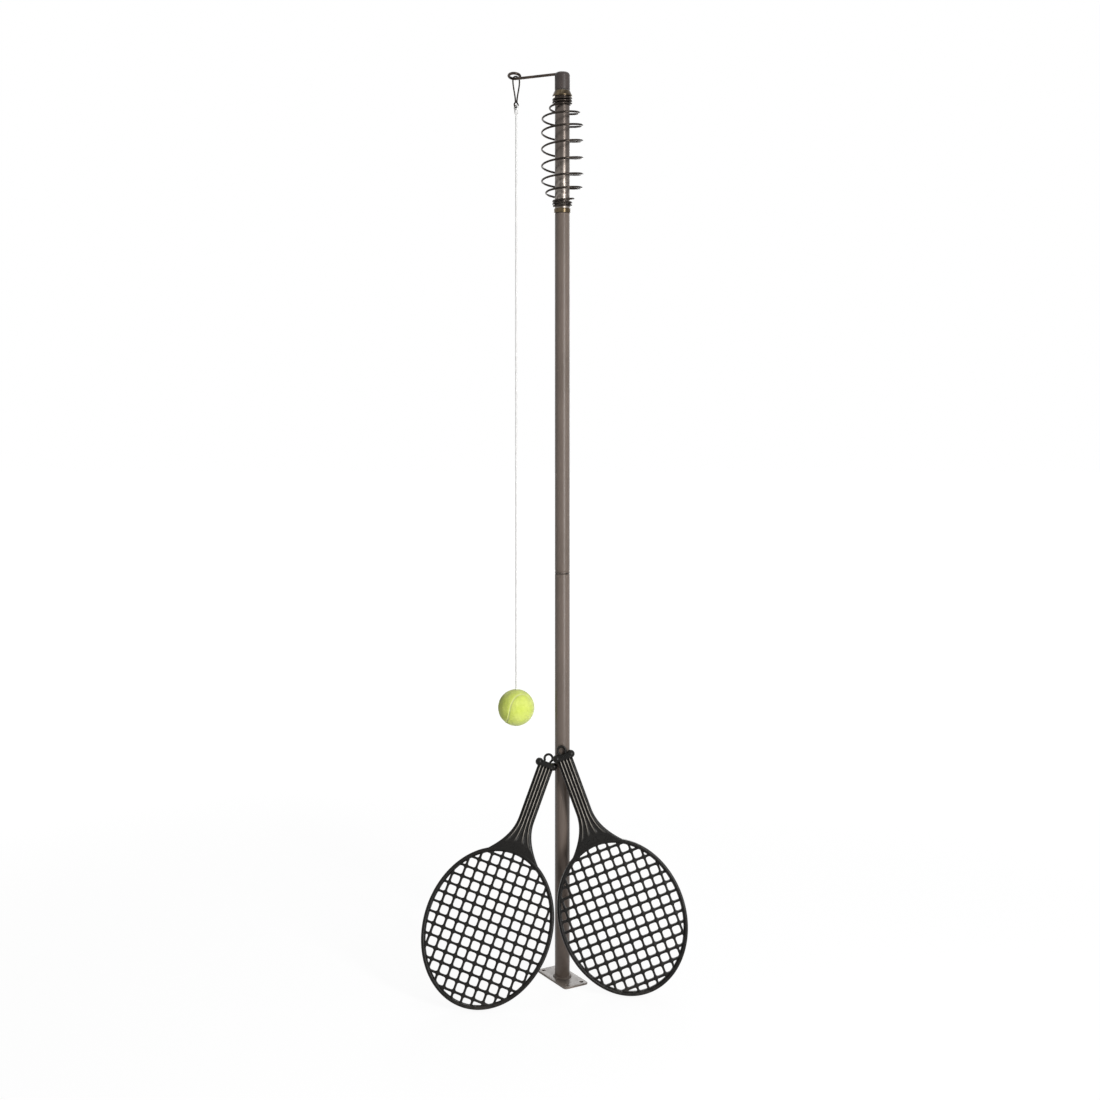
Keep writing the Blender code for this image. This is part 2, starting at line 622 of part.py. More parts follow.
def frame_mesh(finish):
    """Rim, throat, finned handle and beaded butt as one moulding, with its head centre at the origin."""
    frame = helper(rim_mesh(), finish)
    web = prism("throat", throat_outline(), THROAT_DEPTH)
    combine(frame, helper(web, finish), "UNION")
    half = HANDLE_WIDTH / 2
    foot = HEAD_HALF_LENGTH - RIM_WIDTH / 2
    bar = [(half, foot), (half, BUTT_FROM_HEAD_CENTRE), (-half, BUTT_FROM_HEAD_CENTRE), (-half, foot)]
    combine(frame, helper(prism("handle", bar, HANDLE_DEPTH, HANDLE_ROUND), finish), "UNION")
    combine(frame, helper(butt_mesh(), finish), "UNION")
    gap = (HANDLE_WIDTH - FIN_COUNT * FIN_WIDTH) / (FIN_COUNT - 1)
    for i in range(FIN_COUNT - 1):
        x = -half + FIN_WIDTH + i * (gap + FIN_WIDTH)
        fall = abs(i - (FIN_COUNT - 2) / 2) * GRID_PITCH
        low = HEAD_HALF_LENGTH + RIM_WIDTH + fall / 2
        high = BUTT_FROM_HEAD_CENTRE - CHANNEL_TOP_INSET
        for face in (-1, 1):
            deep = face * (HANDLE_DEPTH / 2 - CHANNEL_DEPTH)
            proud = face * HANDLE_DEPTH
            block = box_mesh("channel", (x, low, min(deep, proud)), (x + gap, high, max(deep, proud)))
            combine(frame, helper(block, finish), "DIFFERENCE")
    bm = bmesh.new()
    bm.from_mesh(frame.data)
    bpy.data.objects.remove(frame)
    mesh = mesh_from("frame", bm)
    mesh.materials.clear()
    return mesh


def butt_mesh(steps=6):
    """The butt's cross bar, turned about the racket's width: a bead at each end and a waist between."""
    bead = BUTT_BEAD_DIAMETER / 2
    waist = BUTT_WAIST_DIAMETER / 2
    meet = math.acos(waist / bead)
    arc = [math.pi / 2 - (math.pi / 2 + meet) * i / steps for i in range(steps + 1)]
    end = [(bead * math.cos(t), BUTT_BEAD_SPACING / 2 + bead * math.sin(t)) for t in arc]
    end[0] = (0, end[0][1])
    section = [*end, *[(r, -x) for r, x in reversed(end)]]
    mesh = turned("butt", section, steps=16, axis=(1, 0, 0))
    mesh.transform(Matrix.Translation((0, BUTT_FROM_HEAD_CENTRE, 0)))
    return mesh


def grid_mesh(finish):
    """The moulded net: an oval sheet with a square cell between each pair of bars."""
    sheet = helper(prism("grid", ellipse(GRID_HALF_WIDTH, GRID_HALF_LENGTH, HEAD_STEPS), GRID_DEPTH), finish)
    inner_x, inner_y = GRID_HALF_WIDTH - GRID_EDGE, GRID_HALF_LENGTH - GRID_EDGE
    half_cell = (GRID_PITCH - GRID_BAR) / 2
    bm = bmesh.new()
    columns = math.ceil(inner_x / GRID_PITCH)
    rows = math.ceil(inner_y / GRID_PITCH)
    for column in range(-columns, columns):
        for row in range(-rows, rows + 1):
            x, y = (column + 0.5) * GRID_PITCH, row * GRID_PITCH
            near = max(abs(x) - half_cell, 0), max(abs(y) - half_cell, 0)
            if math.hypot(near[0] / inner_x, near[1] / inner_y) > GRID_CELL_REACH:
                continue
            cell = bmesh.ops.create_cube(bm, size=1)["verts"]
            bmesh.ops.scale(bm, vec=(2 * half_cell, 2 * half_cell, 3 * GRID_DEPTH), verts=cell)
            bmesh.ops.translate(bm, vec=(x, y, 0), verts=cell)
    cells = helper(mesh_from("cells", bm), finish)
    limit = helper(prism("limit", ellipse(inner_x, inner_y, HEAD_STEPS), 2 * GRID_DEPTH), finish)
    combine(cells, limit, "INTERSECT")
    combine(sheet, cells, "DIFFERENCE")
    mesh = sheet.data
    mesh.materials.clear()
    bpy.data.objects.remove(sheet)
    return mesh


def loop_points():
    """The hanging loop: most of a ring that stands on the butt's waist."""
    radius = (LOOP_HOLE_DIAMETER + LOOP_WIRE) / 2
    foot_x = radius * math.cos(LOOP_FOOT_TURN)
    bead_side = BUTT_BEAD_SPACING / 2 - foot_x - LOOP_WIRE / 2
    bead = math.sqrt(max((BUTT_BEAD_DIAMETER / 2) ** 2 - max(bead_side, 0) ** 2, 0))
    seat = BUTT_FROM_HEAD_CENTRE + max(BUTT_WAIST_DIAMETER / 2, bead) + SEAT_GAP
    centre = seat + LOOP_FOOT_LENGTH + radius * math.sin(LOOP_FOOT_TURN)
    sweep = math.pi + 2 * LOOP_FOOT_TURN
    turns = [sweep * i / LOOP_POINTS - LOOP_FOOT_TURN for i in range(LOOP_POINTS + 1)]
    ring = [Vector((radius * math.cos(t), centre + radius * math.sin(t), 0)) for t in turns]
    return [Vector((foot_x, seat, 0)), *ring, Vector((-foot_x, seat, 0))]


def lean_on_pole(centre, roll):
    """The lean that brings the nearer butt bead, or the handle's back, up to the pole's front."""
    touch = POLE_RADIUS + BUTT_BEAD_DIAMETER / 2 + SEAT_GAP
    leans = []
    for bead in (-BUTT_BEAD_SPACING / 2, BUTT_BEAD_SPACING / 2):
        x = centre[0] + BUTT_FROM_HEAD_CENTRE * math.sin(roll) + bead * math.cos(roll)
        rise = BUTT_FROM_HEAD_CENTRE * math.cos(roll) - bead * math.sin(roll)
        if abs(x) < touch:
            leans.append(math.asin((-math.sqrt(touch**2 - x**2) - centre[1]) / rise))
    if abs(centre[0] + BUTT_FROM_HEAD_CENTRE * math.sin(roll)) < HANDLE_WIDTH / 2:
        back = POLE_RADIUS + SEAT_GAP + HANDLE_DEPTH / 2
        leans.append(math.asin((-back - centre[1]) / (BUTT_FROM_HEAD_CENTRE * math.cos(roll))))
    return min(leans)


def stand(centre, roll):
    """The frame of a racket that stands on the ground at that head centre: width, length and face."""
    lean = lean_on_pole(centre, roll)
    up = Vector((0, math.sin(lean), math.cos(lean)))
    across = Vector((1, 0, 0))
    length = up * math.cos(roll) + across * math.sin(roll)
    width = across * math.cos(roll) - up * math.sin(roll)
    face = width.cross(length)
    reach = math.hypot(HEAD_HALF_LENGTH * math.cos(roll), HEAD_HALF_WIDTH * math.sin(roll))
    height = reach * math.cos(lean) + RIM_DEPTH / 2 * math.sin(lean)
    turn = Matrix((width, length, face)).transposed().to_4x4()
    return Matrix.Translation((*centre, height)) @ turn


def build_rackets(plastic):
    """Two alike rackets, each with its frame, its grid and its hanging loop, leaning at the pole's foot."""
    frame = frame_mesh(plastic)
    grid = grid_mesh(plastic)
    poses = (
        ("racket_left", LEFT_HEAD_CENTRE, LEFT_ROLL),
        ("racket_right", RIGHT_HEAD_CENTRE, RIGHT_ROLL),
    )
    for name, centre, roll in poses:
        carrier = empty(name, (0, 0, 0))
        carrier.matrix_world = stand(centre, roll)
        place(name + "_frame", frame.copy(), plastic, carrier)
        place(name + "_grid", grid.copy(), plastic, carrier)
        place(name + "_hang_loop", wire(name + "_hang_loop", loop_points(), LOOP_WIRE), plastic, carrier)


def main():
    """Builds the whole set."""
    clear_scene()
    paint = material("grey_brown_paint", (0.13, 0.11, 0.1), 0.45, 0.3)
    plating = material("dark_plating", (0.3, 0.28, 0.26), 0.25, 0.9)
    steel = material("bright_steel", (0.6, 0.6, 0.6), 0.3, 1.0)
    nylon = material("nylon", (0.75, 0.73, 0.68), 0.6)
    cotton = material("white_cord", (0.9, 0.9, 0.88), 0.85)
    rubber = material("ball_rubber", (0.08, 0.08, 0.08), 0.8)
    felt = material("yellow_felt", (0.62, 0.78, 0.1), 0.95)
    plastic = material("black_plastic", (0.02, 0.02, 0.02), 0.4)
    build_ground_plate(paint)
    build_pole(paint, plating)
    build_spiral(plating)
    build_spindle(steel, nylon)
    build_rotor(paint, nylon, plating)
    across = build_link(plating)[1]
    build_tether(across, cotton, rubber, felt)
    build_rackets(plastic)


main()
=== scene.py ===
"""Looks of a tether tennis set: painted pole, wire spiral, turning arm, ball on a cord and two rackets."""

import functools
import logging
import math
from dataclasses import dataclass, replace
from enum import Enum

import bmesh
import bpy
from mathutils import Matrix, Vector, kdtree, noise

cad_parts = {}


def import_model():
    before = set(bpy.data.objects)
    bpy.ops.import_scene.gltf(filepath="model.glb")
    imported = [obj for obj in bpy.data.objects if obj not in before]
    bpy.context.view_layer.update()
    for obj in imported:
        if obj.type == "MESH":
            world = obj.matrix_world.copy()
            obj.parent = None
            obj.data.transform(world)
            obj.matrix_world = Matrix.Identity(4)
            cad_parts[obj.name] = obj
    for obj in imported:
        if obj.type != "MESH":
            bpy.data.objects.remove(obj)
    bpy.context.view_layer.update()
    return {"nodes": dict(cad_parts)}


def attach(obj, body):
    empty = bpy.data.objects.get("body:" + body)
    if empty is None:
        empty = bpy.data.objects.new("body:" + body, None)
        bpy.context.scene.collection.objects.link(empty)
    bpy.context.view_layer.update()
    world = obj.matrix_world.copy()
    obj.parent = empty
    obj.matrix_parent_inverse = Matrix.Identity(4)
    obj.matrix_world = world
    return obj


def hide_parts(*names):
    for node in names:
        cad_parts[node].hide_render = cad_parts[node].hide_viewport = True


LOG = logging.getLogger("tether_tennis")
MM = 0.001
GAP = 0.3 * MM  # the seat between pieces that touch
MERGE = 1e-6  # metres; nearer points are one
CRISP_ANGLE = 32.0  # degrees
FULL_TURN = 2 * math.pi
QUARTER_TURN = math.pi / 2
LIP_TURNS = (0.0, 0.5, 1.05, QUARTER_TURN)  # where a rounded lip has points
UP = Vector((0, 0, 1))
RIGHT = Vector((1, 0, 0))
FLOAT, VECTOR = "NodeSocketFloat", "NodeSocketVector"

Colour = tuple[float, float, float]
Point2 = tuple[float, float]
Socket = bpy.types.NodeSocket
Node = bpy.types.Node
Tree = bpy.types.NodeTree
Piece = bpy.types.Object
Shape = bmesh.types.BMesh


class Slot(Enum):
    """The record's material slots."""

    PAINT = "paint"
    PLATING = "plating"
    CORD = "cord"
    FELT = "felt"
    PLASTIC = "plastic"


class Body(Enum):
    """The set's moving bodies."""

    GROUND_POLE = "ground_pole"
    MAST = "mast"
    ROTOR = "rotor"
    LINK = "link"
    TETHER = "tether"
    RACKET_LEFT = "racket_left"
    RACKET_RIGHT = "racket_right"


def linear(colour: Colour) -> tuple[float, float, float, float]:
    """Turns a display colour of 0 to 255 into the linear colour that shaders take.

    Args:
        colour: Red, green and blue from 0 to 255.

    Returns:
        The linear colour with full alpha.
    """
    shares = [c / 255 for c in colour]
    parts = [c / 12.92 if c <= 0.04045 else ((c + 0.055) / 1.055) ** 2.4 for c in shares]
    return (*parts, 1.0)


def steps(end: float, count: int, start: float = 0.0) -> list[float]:
    """Evenly spaced values from the start to the end, both included."""
    return [start + (end - start) * i / count for i in range(count + 1)]


def clamp(value: float) -> float:
    """The value, kept from 0 to 1."""
    return min(max(value, 0), 1)


def smooth(share: float) -> float:
    """A share from 0 to 1 with eased ends."""
    return share * share * (3 - 2 * share)


def onward(line: list) -> list[tuple]:
    """Each item with the next one, round a closed line."""
    return list(zip(line, line[1:] + line[:1]))


class Graph:
    """A node tree with short ways to add nodes and to join them."""

    def __init__(self, tree: Tree) -> None:
        """Keeps the tree to work on."""
        self.tree = tree

    def add(self, kind: str, **settings: object) -> Node:
        """Adds a node and sets its own properties.

        Args:
            kind: The node's type.
            **settings: Properties of the node.

        Returns:
            The new node.
        """
        node = self.tree.nodes.new(kind)
        for name, value in settings.items():
            setattr(node, name, value)
        return node

    def feed(self, socket: Socket, source: object) -> None:
        """Joins a socket to an output, or sets its value.

        Args:
            socket: The input to feed.
            source: An output socket or a plain value.
        """
        if isinstance(source, Socket):
            self.tree.links.new(source, socket)
        else:
            socket.default_value = source

    def math(self, operation: str, first: object, second: object = 0.0) -> Socket:
        """Adds a Math node.

        Args:
            operation: The node's operation.
            first: Its first value.
            second: Its second value.

        Returns:
            The result.
        """
        node = self.add("ShaderNodeMath", operation=operation)
        self.feed(node.inputs[0], first)
        self.feed(node.inputs[1], second)
        return node.outputs[0]

    def span(
        self, value: object, low: object, high: object, to_low: object, to_high: object
    ) -> Socket:
        """Adds a clamped smooth Map Range node.

        Args:
            value: The value to map.
            low: Where the source range starts.
            high: Where the source range ends.
            to_low: What the start becomes.
            to_high: What the end becomes.

        Returns:
            The mapped value.
        """
        node = self.add("ShaderNodeMapRange", interpolation_type="SMOOTHSTEP")
        for socket, source in zip(node.inputs, (value, low, high, to_low, to_high)):
            self.feed(socket, source)
        return node.outputs[0]

    def mix(self, share: object, first: object, second: object) -> Socket:
        """Adds a colour Mix node.

        Args:
            share: How much of the second colour shows.
            first: The first colour.
            second: The second colour.

        Returns:
            The mixed colour.
        """
        node = self.add("ShaderNodeMix", data_type="RGBA")
        self.feed(node.inputs[0], share)
        self.feed(node.inputs[6], first)
        self.feed(node.inputs[7], second)
        return node.outputs[2]

    def group(self, tree: Tree, **values: object) -> Node:
        """Places a node group with its own values.

        Args:
            tree: The group.
            **values: Its inputs, with spaces written as underscores.

        Returns:
            The group's node.
        """
        node = self.add("ShaderNodeGroup", node_tree=tree)
        for name, value in values.items():
            self.feed(node.inputs[name.replace("_", " ")], value)
        return node

    def place(self) -> Socket:
        """The piece's own coordinates."""
        return self.add("ShaderNodeTexCoord").outputs["Object"]

    def stretched(self, stretch: Socket) -> Socket:
        """The piece's own coordinates, stretched.

        Args:
            stretch: The stretch along each axis.

        Returns:
            The coordinates.
        """
        mapping = self.add("ShaderNodeMapping")
        self.feed(mapping.inputs["Vector"], self.place())
        self.feed(mapping.inputs["Scale"], stretch)
        return mapping.outputs[0]

    def texture(self, kind: str, vector: Socket, scale: object, **settings: object) -> Node:
        """Adds a texture node.

        Args:
            kind: The node's type.
            vector: Its coordinates.
            scale: Its scale.
            **settings: Properties of the node.

        Returns:
            The new node.
        """
        node = self.add(kind, **settings)
        self.feed(node.inputs["Vector"], vector)
        self.feed(node.inputs["Scale"], scale)
        return node

    def seen(self) -> Socket:
        """Tells the rays that see the white surroundings: camera, glossy and transmission rays.

        Returns:
            1 for such a ray, otherwise 0.
        """
        path = self.add("ShaderNodeLightPath")
        shown = self.math("MAXIMUM", path.outputs["Is Camera Ray"], path.outputs["Is Glossy Ray"])
        return self.math("MAXIMUM", shown, path.outputs["Is Transmission Ray"])


def new_group(name: str, inputs: dict[str, str], output: str) -> tuple[Graph, Node, Node]:
    """Starts a shader node group with one float output.

    Args:
        name: The group's name.
        inputs: Its inputs and their socket types.
        output: Its output.

    Returns:
        The group's graph, its input node and its output node.
    """
    tree = bpy.data.node_groups.new(name, "ShaderNodeTree")
    for label, kind in inputs.items():
        tree.interface.new_socket(label, in_out="INPUT", socket_type=kind)
    tree.interface.new_socket(output, in_out="OUTPUT", socket_type=FLOAT)
    graph = Graph(tree)
    return graph, graph.add("NodeGroupInput"), graph.add("NodeGroupOutput")


@functools.lru_cache(maxsize=None)
def grain_group() -> Tree:
    """A noise over the piece, stretched at will and mapped between two values.

    Returns:
        The group.
    """
    contrast = (0.3, 0.7)
    kinds = {"Stretch": VECTOR, **dict.fromkeys(("Scale", "Detail", "Low", "High"), FLOAT)}
    graph, group, out = new_group("surface_grain", kinds, "Value")
    given = group.outputs
    cloud = graph.texture("ShaderNodeTexNoise", graph.stretched(given["Stretch"]), given["Scale"])
    graph.feed(cloud.inputs["Detail"], given["Detail"])
    graph.feed(out.inputs["Value"], graph.span(cloud.outputs[0], *contrast, given["Low"], given["High"]))
    return graph.tree


@functools.lru_cache(maxsize=None)
def scratch_group() -> Tree:
    """Sparse fine scratches and rubbed spots.

    Returns:
        The group.
    """
    line_width, patch_scale, patch_span = 0.03, 38.0, (0.52, 0.66)
    kinds = {"Stretch": VECTOR, "Scale": FLOAT, "Share": FLOAT}
    graph, group, out = new_group("fine_scratches", kinds, "Mask")
    given = group.outputs
    place = graph.stretched(given["Stretch"])
    cells = graph.texture("ShaderNodeTexVoronoi", place, given["Scale"], feature="DISTANCE_TO_EDGE")
    lines = graph.span(cells.outputs["Distance"], 0.0, line_width, 1.0, 0.0)
    patch = graph.texture("ShaderNodeTexNoise", graph.place(), patch_scale)
    where = graph.span(patch.outputs[0], *patch_span, 0.0, given["Share"])
    graph.feed(out.inputs["Mask"], graph.math("MULTIPLY", lines, where))
    return graph.tree


@functools.lru_cache(maxsize=None)
def height_band_group() -> Tree:
    """A mask that fades away from a height, broken up by noise, for dust at a foot, painted shade at a joint
    and a painted highlight on a tube.

    Returns:
        The group.
    """
    cloud_scale, cloud_span = 160.0, (0.35, 0.6)
    kinds = dict.fromkeys(("Height", "Fade", "Share"), FLOAT)
    graph, group, out = new_group("height_band", kinds, "Mask")
    given = group.outputs
    split = graph.add("ShaderNodeSeparateXYZ")
    graph.feed(split.inputs[0], graph.place())
    away = graph.math("ABSOLUTE", graph.math("SUBTRACT", split.outputs[2], given["Height"]))
    band = graph.span(graph.math("DIVIDE", away, given["Fade"]), 0.0, 1.0, given["Share"], 0.0)
    cloud = graph.texture("ShaderNodeTexNoise", graph.place(), cloud_scale)
    broken = graph.span(cloud.outputs[0], *cloud_span, 0.0, 1.0)
    graph.feed(out.inputs["Mask"], graph.math("MULTIPLY", band, broken))
    return graph.tree


@dataclass(frozen=True)
class Finish:
    """A surface finish: two tones, a roughness range, a fine relief, perhaps scratches and a band of dust and
    painted light.
    """

    name: str
    colour: Colour
    tone: Colour
    rough: Point2
    tone_scale: float = 40.0
    tone_detail: float = 5.0
    rough_scale: float = 220.0
    rough_detail: float = 4.0
    relief_scale: float = 900.0
    relief_detail: float = 3.0
    relief_depth: float = 0.05 * MM
    relief_strength: float = 0.25
    stretch: Colour = (1.0, 1.0, 1.0)
    metallic: float = 0.0
    specular: float = 0.5
    sheen: float = 0.0
    sheen_rough: float = 0.4
    scratch: Colour | None = None
    scratch_share: float = 0.5
    scratch_scale: float = 60.0
    dust_and_painted_light: Colour | None = None
    dust_and_light_height: float = 0.0
    dust_and_light_fade: float = 0.12
    dust_and_light_share: float = 0.5

    def grain(
        self, graph: Graph, scale: float, detail: float, low: float = 0.0, high: float = 1.0
    ) -> Socket:
        """Places the shared grain with the finish's own stretch."""
        values = {"Scale": scale, "Detail": detail, "Low": low, "High": high}
        return graph.group(grain_group(), Stretch=self.stretch, **values).outputs[0]

    def tint(self, graph: Graph) -> Socket:
        """The finish's colour over the surface.

        Args:
            graph: The material's graph.

        Returns:
            The colour output.
        """
        cloud = self.grain(graph, self.tone_scale, self.tone_detail)
        colour = graph.mix(cloud, linear(self.colour), linear(self.tone))
        if self.scratch:
            values = {"Scale": self.scratch_scale, "Share": self.scratch_share}
            marks = graph.group(scratch_group(), Stretch=self.stretch, **values)
            colour = graph.mix(marks.outputs[0], colour, linear(self.scratch))
        # Height band: dust at a foot, painted shade at the upper pole's joint and a painted highlight on the
        # head tube's lower part.
        if self.dust_and_painted_light:
            values = {"Height": self.dust_and_light_height, "Fade": self.dust_and_light_fade, "Share": self.dust_and_light_share}
            band = graph.group(height_band_group(), **values)
            colour = graph.mix(band.outputs[0], colour, linear(self.dust_and_painted_light))
        return colour

    def relief(self, graph: Graph) -> Socket:
        """The height of the finish's fine relief."""
        return self.grain(graph, self.relief_scale, self.relief_detail)

    @functools.lru_cache(maxsize=None)
    def make(self) -> bpy.types.Material:
        """Builds the material once.

        Returns:
            The material.
        """
        made = bpy.data.materials.new(self.name)
        made.use_nodes = True
        graph = Graph(made.node_tree)
        bump = graph.add("ShaderNodeBump")
        graph.feed(bump.inputs["Strength"], self.relief_strength)
        graph.feed(bump.inputs["Distance"], self.relief_depth)
        graph.feed(bump.inputs["Height"], self.relief(graph))
        shader = made.node_tree.nodes["Principled BSDF"]
        values = {
            "Base Color": self.tint(graph),
            "Roughness": self.grain(graph, self.rough_scale, self.rough_detail, *self.rough),
            "Normal": bump.outputs[0],
            "Metallic": self.metallic,
            "Specular IOR Level": self.specular,
            "Sheen Weight": self.sheen,
            "Sheen Roughness": self.sheen_rough,
        }
        for label, value in values.items():
            graph.feed(shader.inputs[label], value)
        return made


@dataclass(frozen=True)
class FeltFinish(Finish):
    """Fluffy felt with a pale seam, which the ball's seam attribute marks."""

    seam_colour: Colour = (232, 240, 158)
    fleck_colour: Colour = (236, 247, 150)
    fleck_scale: float = 1400.0
    fleck_detail: float = 2.0
    fleck_share: float = 0.55

    def tint(self, graph: Graph) -> Socket:
        """Felt colour with fine fibre flecks and the seam.

        Args:
            graph: The material's graph.

        Returns:
            The colour output.
        """
        flecks = self.grain(graph, self.fleck_scale, self.fleck_detail, high=self.fleck_share)
        colour = graph.mix(flecks, super().tint(graph), linear(self.fleck_colour))
        seam = graph.add("ShaderNodeAttribute", attribute_name="seam")
        return graph.mix(seam.outputs["Fac"], colour, linear(self.seam_colour))


@dataclass(frozen=True)
class FinnedFinish(Finish):
    """Moulded plastic with painted highlights on the fin crests, which the racket's crest attribute marks."""

    # Painted highlight along the fin crests.
    crest_highlight_colour: Colour = (196, 189, 179)
    patch_scale: float = 90.0
    patch_detail: float = 3.0
    patch_least: float = 0.65

    def tint(self, graph: Graph) -> Socket:
        """Plastic colour with painted highlights on the crests.

        Args:
            graph: The material's graph.

        Returns:
            The colour output.
        """
        crest = graph.add("ShaderNodeAttribute", attribute_name="crest")
        patches = self.grain(graph, self.patch_scale, self.patch_detail, low=self.patch_least)
        share = graph.math("MULTIPLY", crest.outputs["Fac"], patches)
        return graph.mix(share, super().tint(graph), linear(self.crest_highlight_colour))


@dataclass(frozen=True)
class BraidFinish(Finish):
    """Braided cord: crossing strands on the cord's own UV map."""

    first_count: float = 8.0
    second_count: float = 680.0
    shade_colour: Colour = (176, 174, 168)
    shade_reach: float = 0.35
    shade_share: float = 0.12

    def strands(self, graph: Graph) -> Socket:
        """The ridge pattern of two crossing families of strands.

        Args:
            graph: The material's graph.

        Returns:
            The ridge height.
        """
        split = graph.add("ShaderNodeSeparateXYZ")
        graph.feed(split.inputs[0], graph.add("ShaderNodeUVMap").outputs[0])
        first = graph.math("MULTIPLY", split.outputs[0], self.first_count)
        second = graph.math("MULTIPLY", split.outputs[1], self.second_count)
        waves = []
        for turn in ("ADD", "SUBTRACT"):
            phase = graph.math("MULTIPLY", graph.math(turn, first, second), math.pi)
            waves.append(graph.math("ABSOLUTE", graph.math("SINE", phase)))
        return graph.math("MULTIPLY", *waves)

    def tint(self, graph: Graph) -> Socket:
        """Cord colour, a little darker between the strands."""
        shade = graph.span(self.strands(graph), 0.0, self.shade_reach, self.shade_share, 0.0)
        return graph.mix(shade, super().tint(graph), linear(self.shade_colour))

    def relief(self, graph: Graph) -> Socket:
        """The strands' ridges."""
        return self.strands(graph)


POLE_PAINT = Finish(
    "pole_paint",
    (110, 98, 90),
    (101, 90, 82),
    (0.3, 0.38),
    tone_scale=22.0,
    relief_scale=520.0,
    relief_strength=0.12,
    specular=0.26,
    stretch=(1.0, 1.0, 0.5),
    scratch=(112, 102, 94),
    scratch_share=0.25,
    scratch_scale=48.0,
    dust_and_painted_light=(122, 112, 102),
    dust_and_light_fade=0.1,
    dust_and_light_share=0.2,
)
# Painted light: the plate takes a lighter copy of the pole paint so that it looks more lit.
PLATE_PAINT = replace(POLE_PAINT, name="plate_paint", colour=(134, 123, 115), tone=(122, 112, 104))
UPPER_POLE_PAINT = replace(
    POLE_PAINT,
    name="upper_pole_paint",
    # Painted shade: a dark band over the joint and its groove stands in for the shadow there.
    dust_and_painted_light=(32, 27, 23),
    dust_and_light_height=0.7362,
    dust_and_light_fade=5 * MM,
    dust_and_light_share=1.0,
)
CAP_PAINT = Finish(
    "cap_paint",
    (66, 58, 55),
    (58, 51, 49),
    (0.36, 0.48),
    tone_scale=60.0,
    relief_scale=700.0,
    relief_strength=0.15,
    specular=0.3,
    scratch=(98, 91, 87),
    scratch_share=0.35,
    scratch_scale=90.0,
)
TUBE_PLATING = Finish(
    "tube_plating",
    (98, 90, 85),
    (80, 74, 69),
    (0.3, 0.4),
    tone_scale=16.0,
    stretch=(4.0, 4.0, 0.4),
    relief_scale=160.0,
    relief_depth=0.01 * MM,
    relief_strength=0.08,
    metallic=1.0,
    scratch=(106, 99, 94),
    scratch_share=0.2,
    scratch_scale=18.0,
    # Painted highlight: a lighter band on the head tube's lower part stands in for its bright reflection.
    dust_and_painted_light=(138, 131, 124),
    dust_and_light_height=1.42,
    dust_and_light_fade=0.09,
    dust_and_light_share=0.8,
)
COLLAR_PLATING = Finish(
    "collar_plating",
    (96, 84, 64),
    (66, 57, 45),
    (0.18, 0.32),
    tone_scale=80.0,
    metallic=1.0,
    relief_scale=400.0,
    relief_depth=0.03 * MM,
    scratch=(160, 146, 122),
    scratch_share=0.4,
)
SPIRAL_PLATING = Finish(
    "spiral_plating",
    (60, 54, 49),
    (42, 38, 35),
    (0.2, 0.34),
    tone_scale=70.0,
    metallic=1.0,
    relief_scale=500.0,
    relief_depth=0.04 * MM,
    scratch=(120, 112, 105),
    scratch_share=0.4,
    scratch_scale=120.0,
)
ARM_PLATING = Finish(
    "arm_plating",
    (76, 67, 60),
    (52, 46, 42),
    (0.22, 0.36),
    tone_scale=60.0,
    metallic=1.0,
    relief_scale=450.0,
    relief_depth=0.04 * MM,
    scratch=(128, 118, 109),
    scratch_share=0.4,
    scratch_scale=110.0,
)
LINK_PLATING = replace(ARM_PLATING, name="link_plating", colour=(48, 43, 38), tone=(34, 31, 28))
TURNED_STEEL = Finish(
    "turned_steel",
    (176, 176, 174),
    (150, 150, 150),
    (0.25, 0.38),
    stretch=(1.0, 1.0, 14.0),
    metallic=1.0,
    relief_depth=0.03 * MM,
)
MOULDED_NYLON = Finish("moulded_nylon", (66, 61, 57), (54, 50, 47), (0.45, 0.6))
BALL_RUBBER = Finish("ball_rubber", (58, 56, 54), (46, 45, 44), (0.7, 0.85))
BRAID = BraidFinish(
    "braided_cord",
    (236, 236, 235),
    (229, 228, 226),
    (0.72, 0.88),
    tone_scale=120.0,
    relief_depth=0.12 * MM,
)
KNOT_BRAID = replace(BRAID, name="knotted_cord", first_count=20.0, second_count=8.0)
FELT = FeltFinish(
    "ball_felt_nap",
    (226, 239, 112),
    (212, 229, 82),
    (0.86, 1.0),
    tone_scale=55.0,
    relief_scale=1500.0,
    relief_depth=0.5 * MM,
    relief_strength=0.6,
    specular=0.2,
    sheen=0.5,
)
RACKET_PLASTIC = FinnedFinish(
    "racket_plastic",
    (24, 22, 20),
    (17, 16, 14),
    (0.24, 0.36),
    tone_scale=30.0,
    relief_scale=650.0,
    relief_depth=0.04 * MM,
    relief_strength=0.15,
    specular=0.17,
    scratch=(44, 42, 39),
    scratch_share=0.3,
    scratch_scale=70.0,
    dust_and_painted_light=(66, 62, 57),
    dust_and_light_fade=0.03,
)


def show(name: str, data: bpy.types.ID) -> Piece:
    """Puts a mesh, curve, lamp or camera into the scene.

    Args:
        name: The new object's name.
        data: What it shows.

    Returns:
        The new object.
    """
    piece = bpy.data.objects.new(name, data)
    bpy.context.scene.collection.objects.link(piece)
    return piece


def finish_mesh(name: str, bm: Shape, angle: float = CRISP_ANGLE) -> Piece:
    """Closes a bmesh's seams, turns its faces outwards and makes it a smooth piece.

    Args:
        name: The piece's name.
        bm: The shape, which is freed.
        angle: Edges sharper than this many degrees stay crisp.

    Returns:
        The new object.
    """
    bmesh.ops.remove_doubles(bm, verts=bm.verts, dist=MERGE)
    bmesh.ops.recalc_face_normals(bm, faces=bm.faces)
    mesh = bpy.data.meshes.new(name)
    bm.to_mesh(mesh)
    bm.free()
    mesh.shade_smooth()
    mesh.set_sharp_from_angle(angle=math.radians(angle))
    return show(name, mesh)


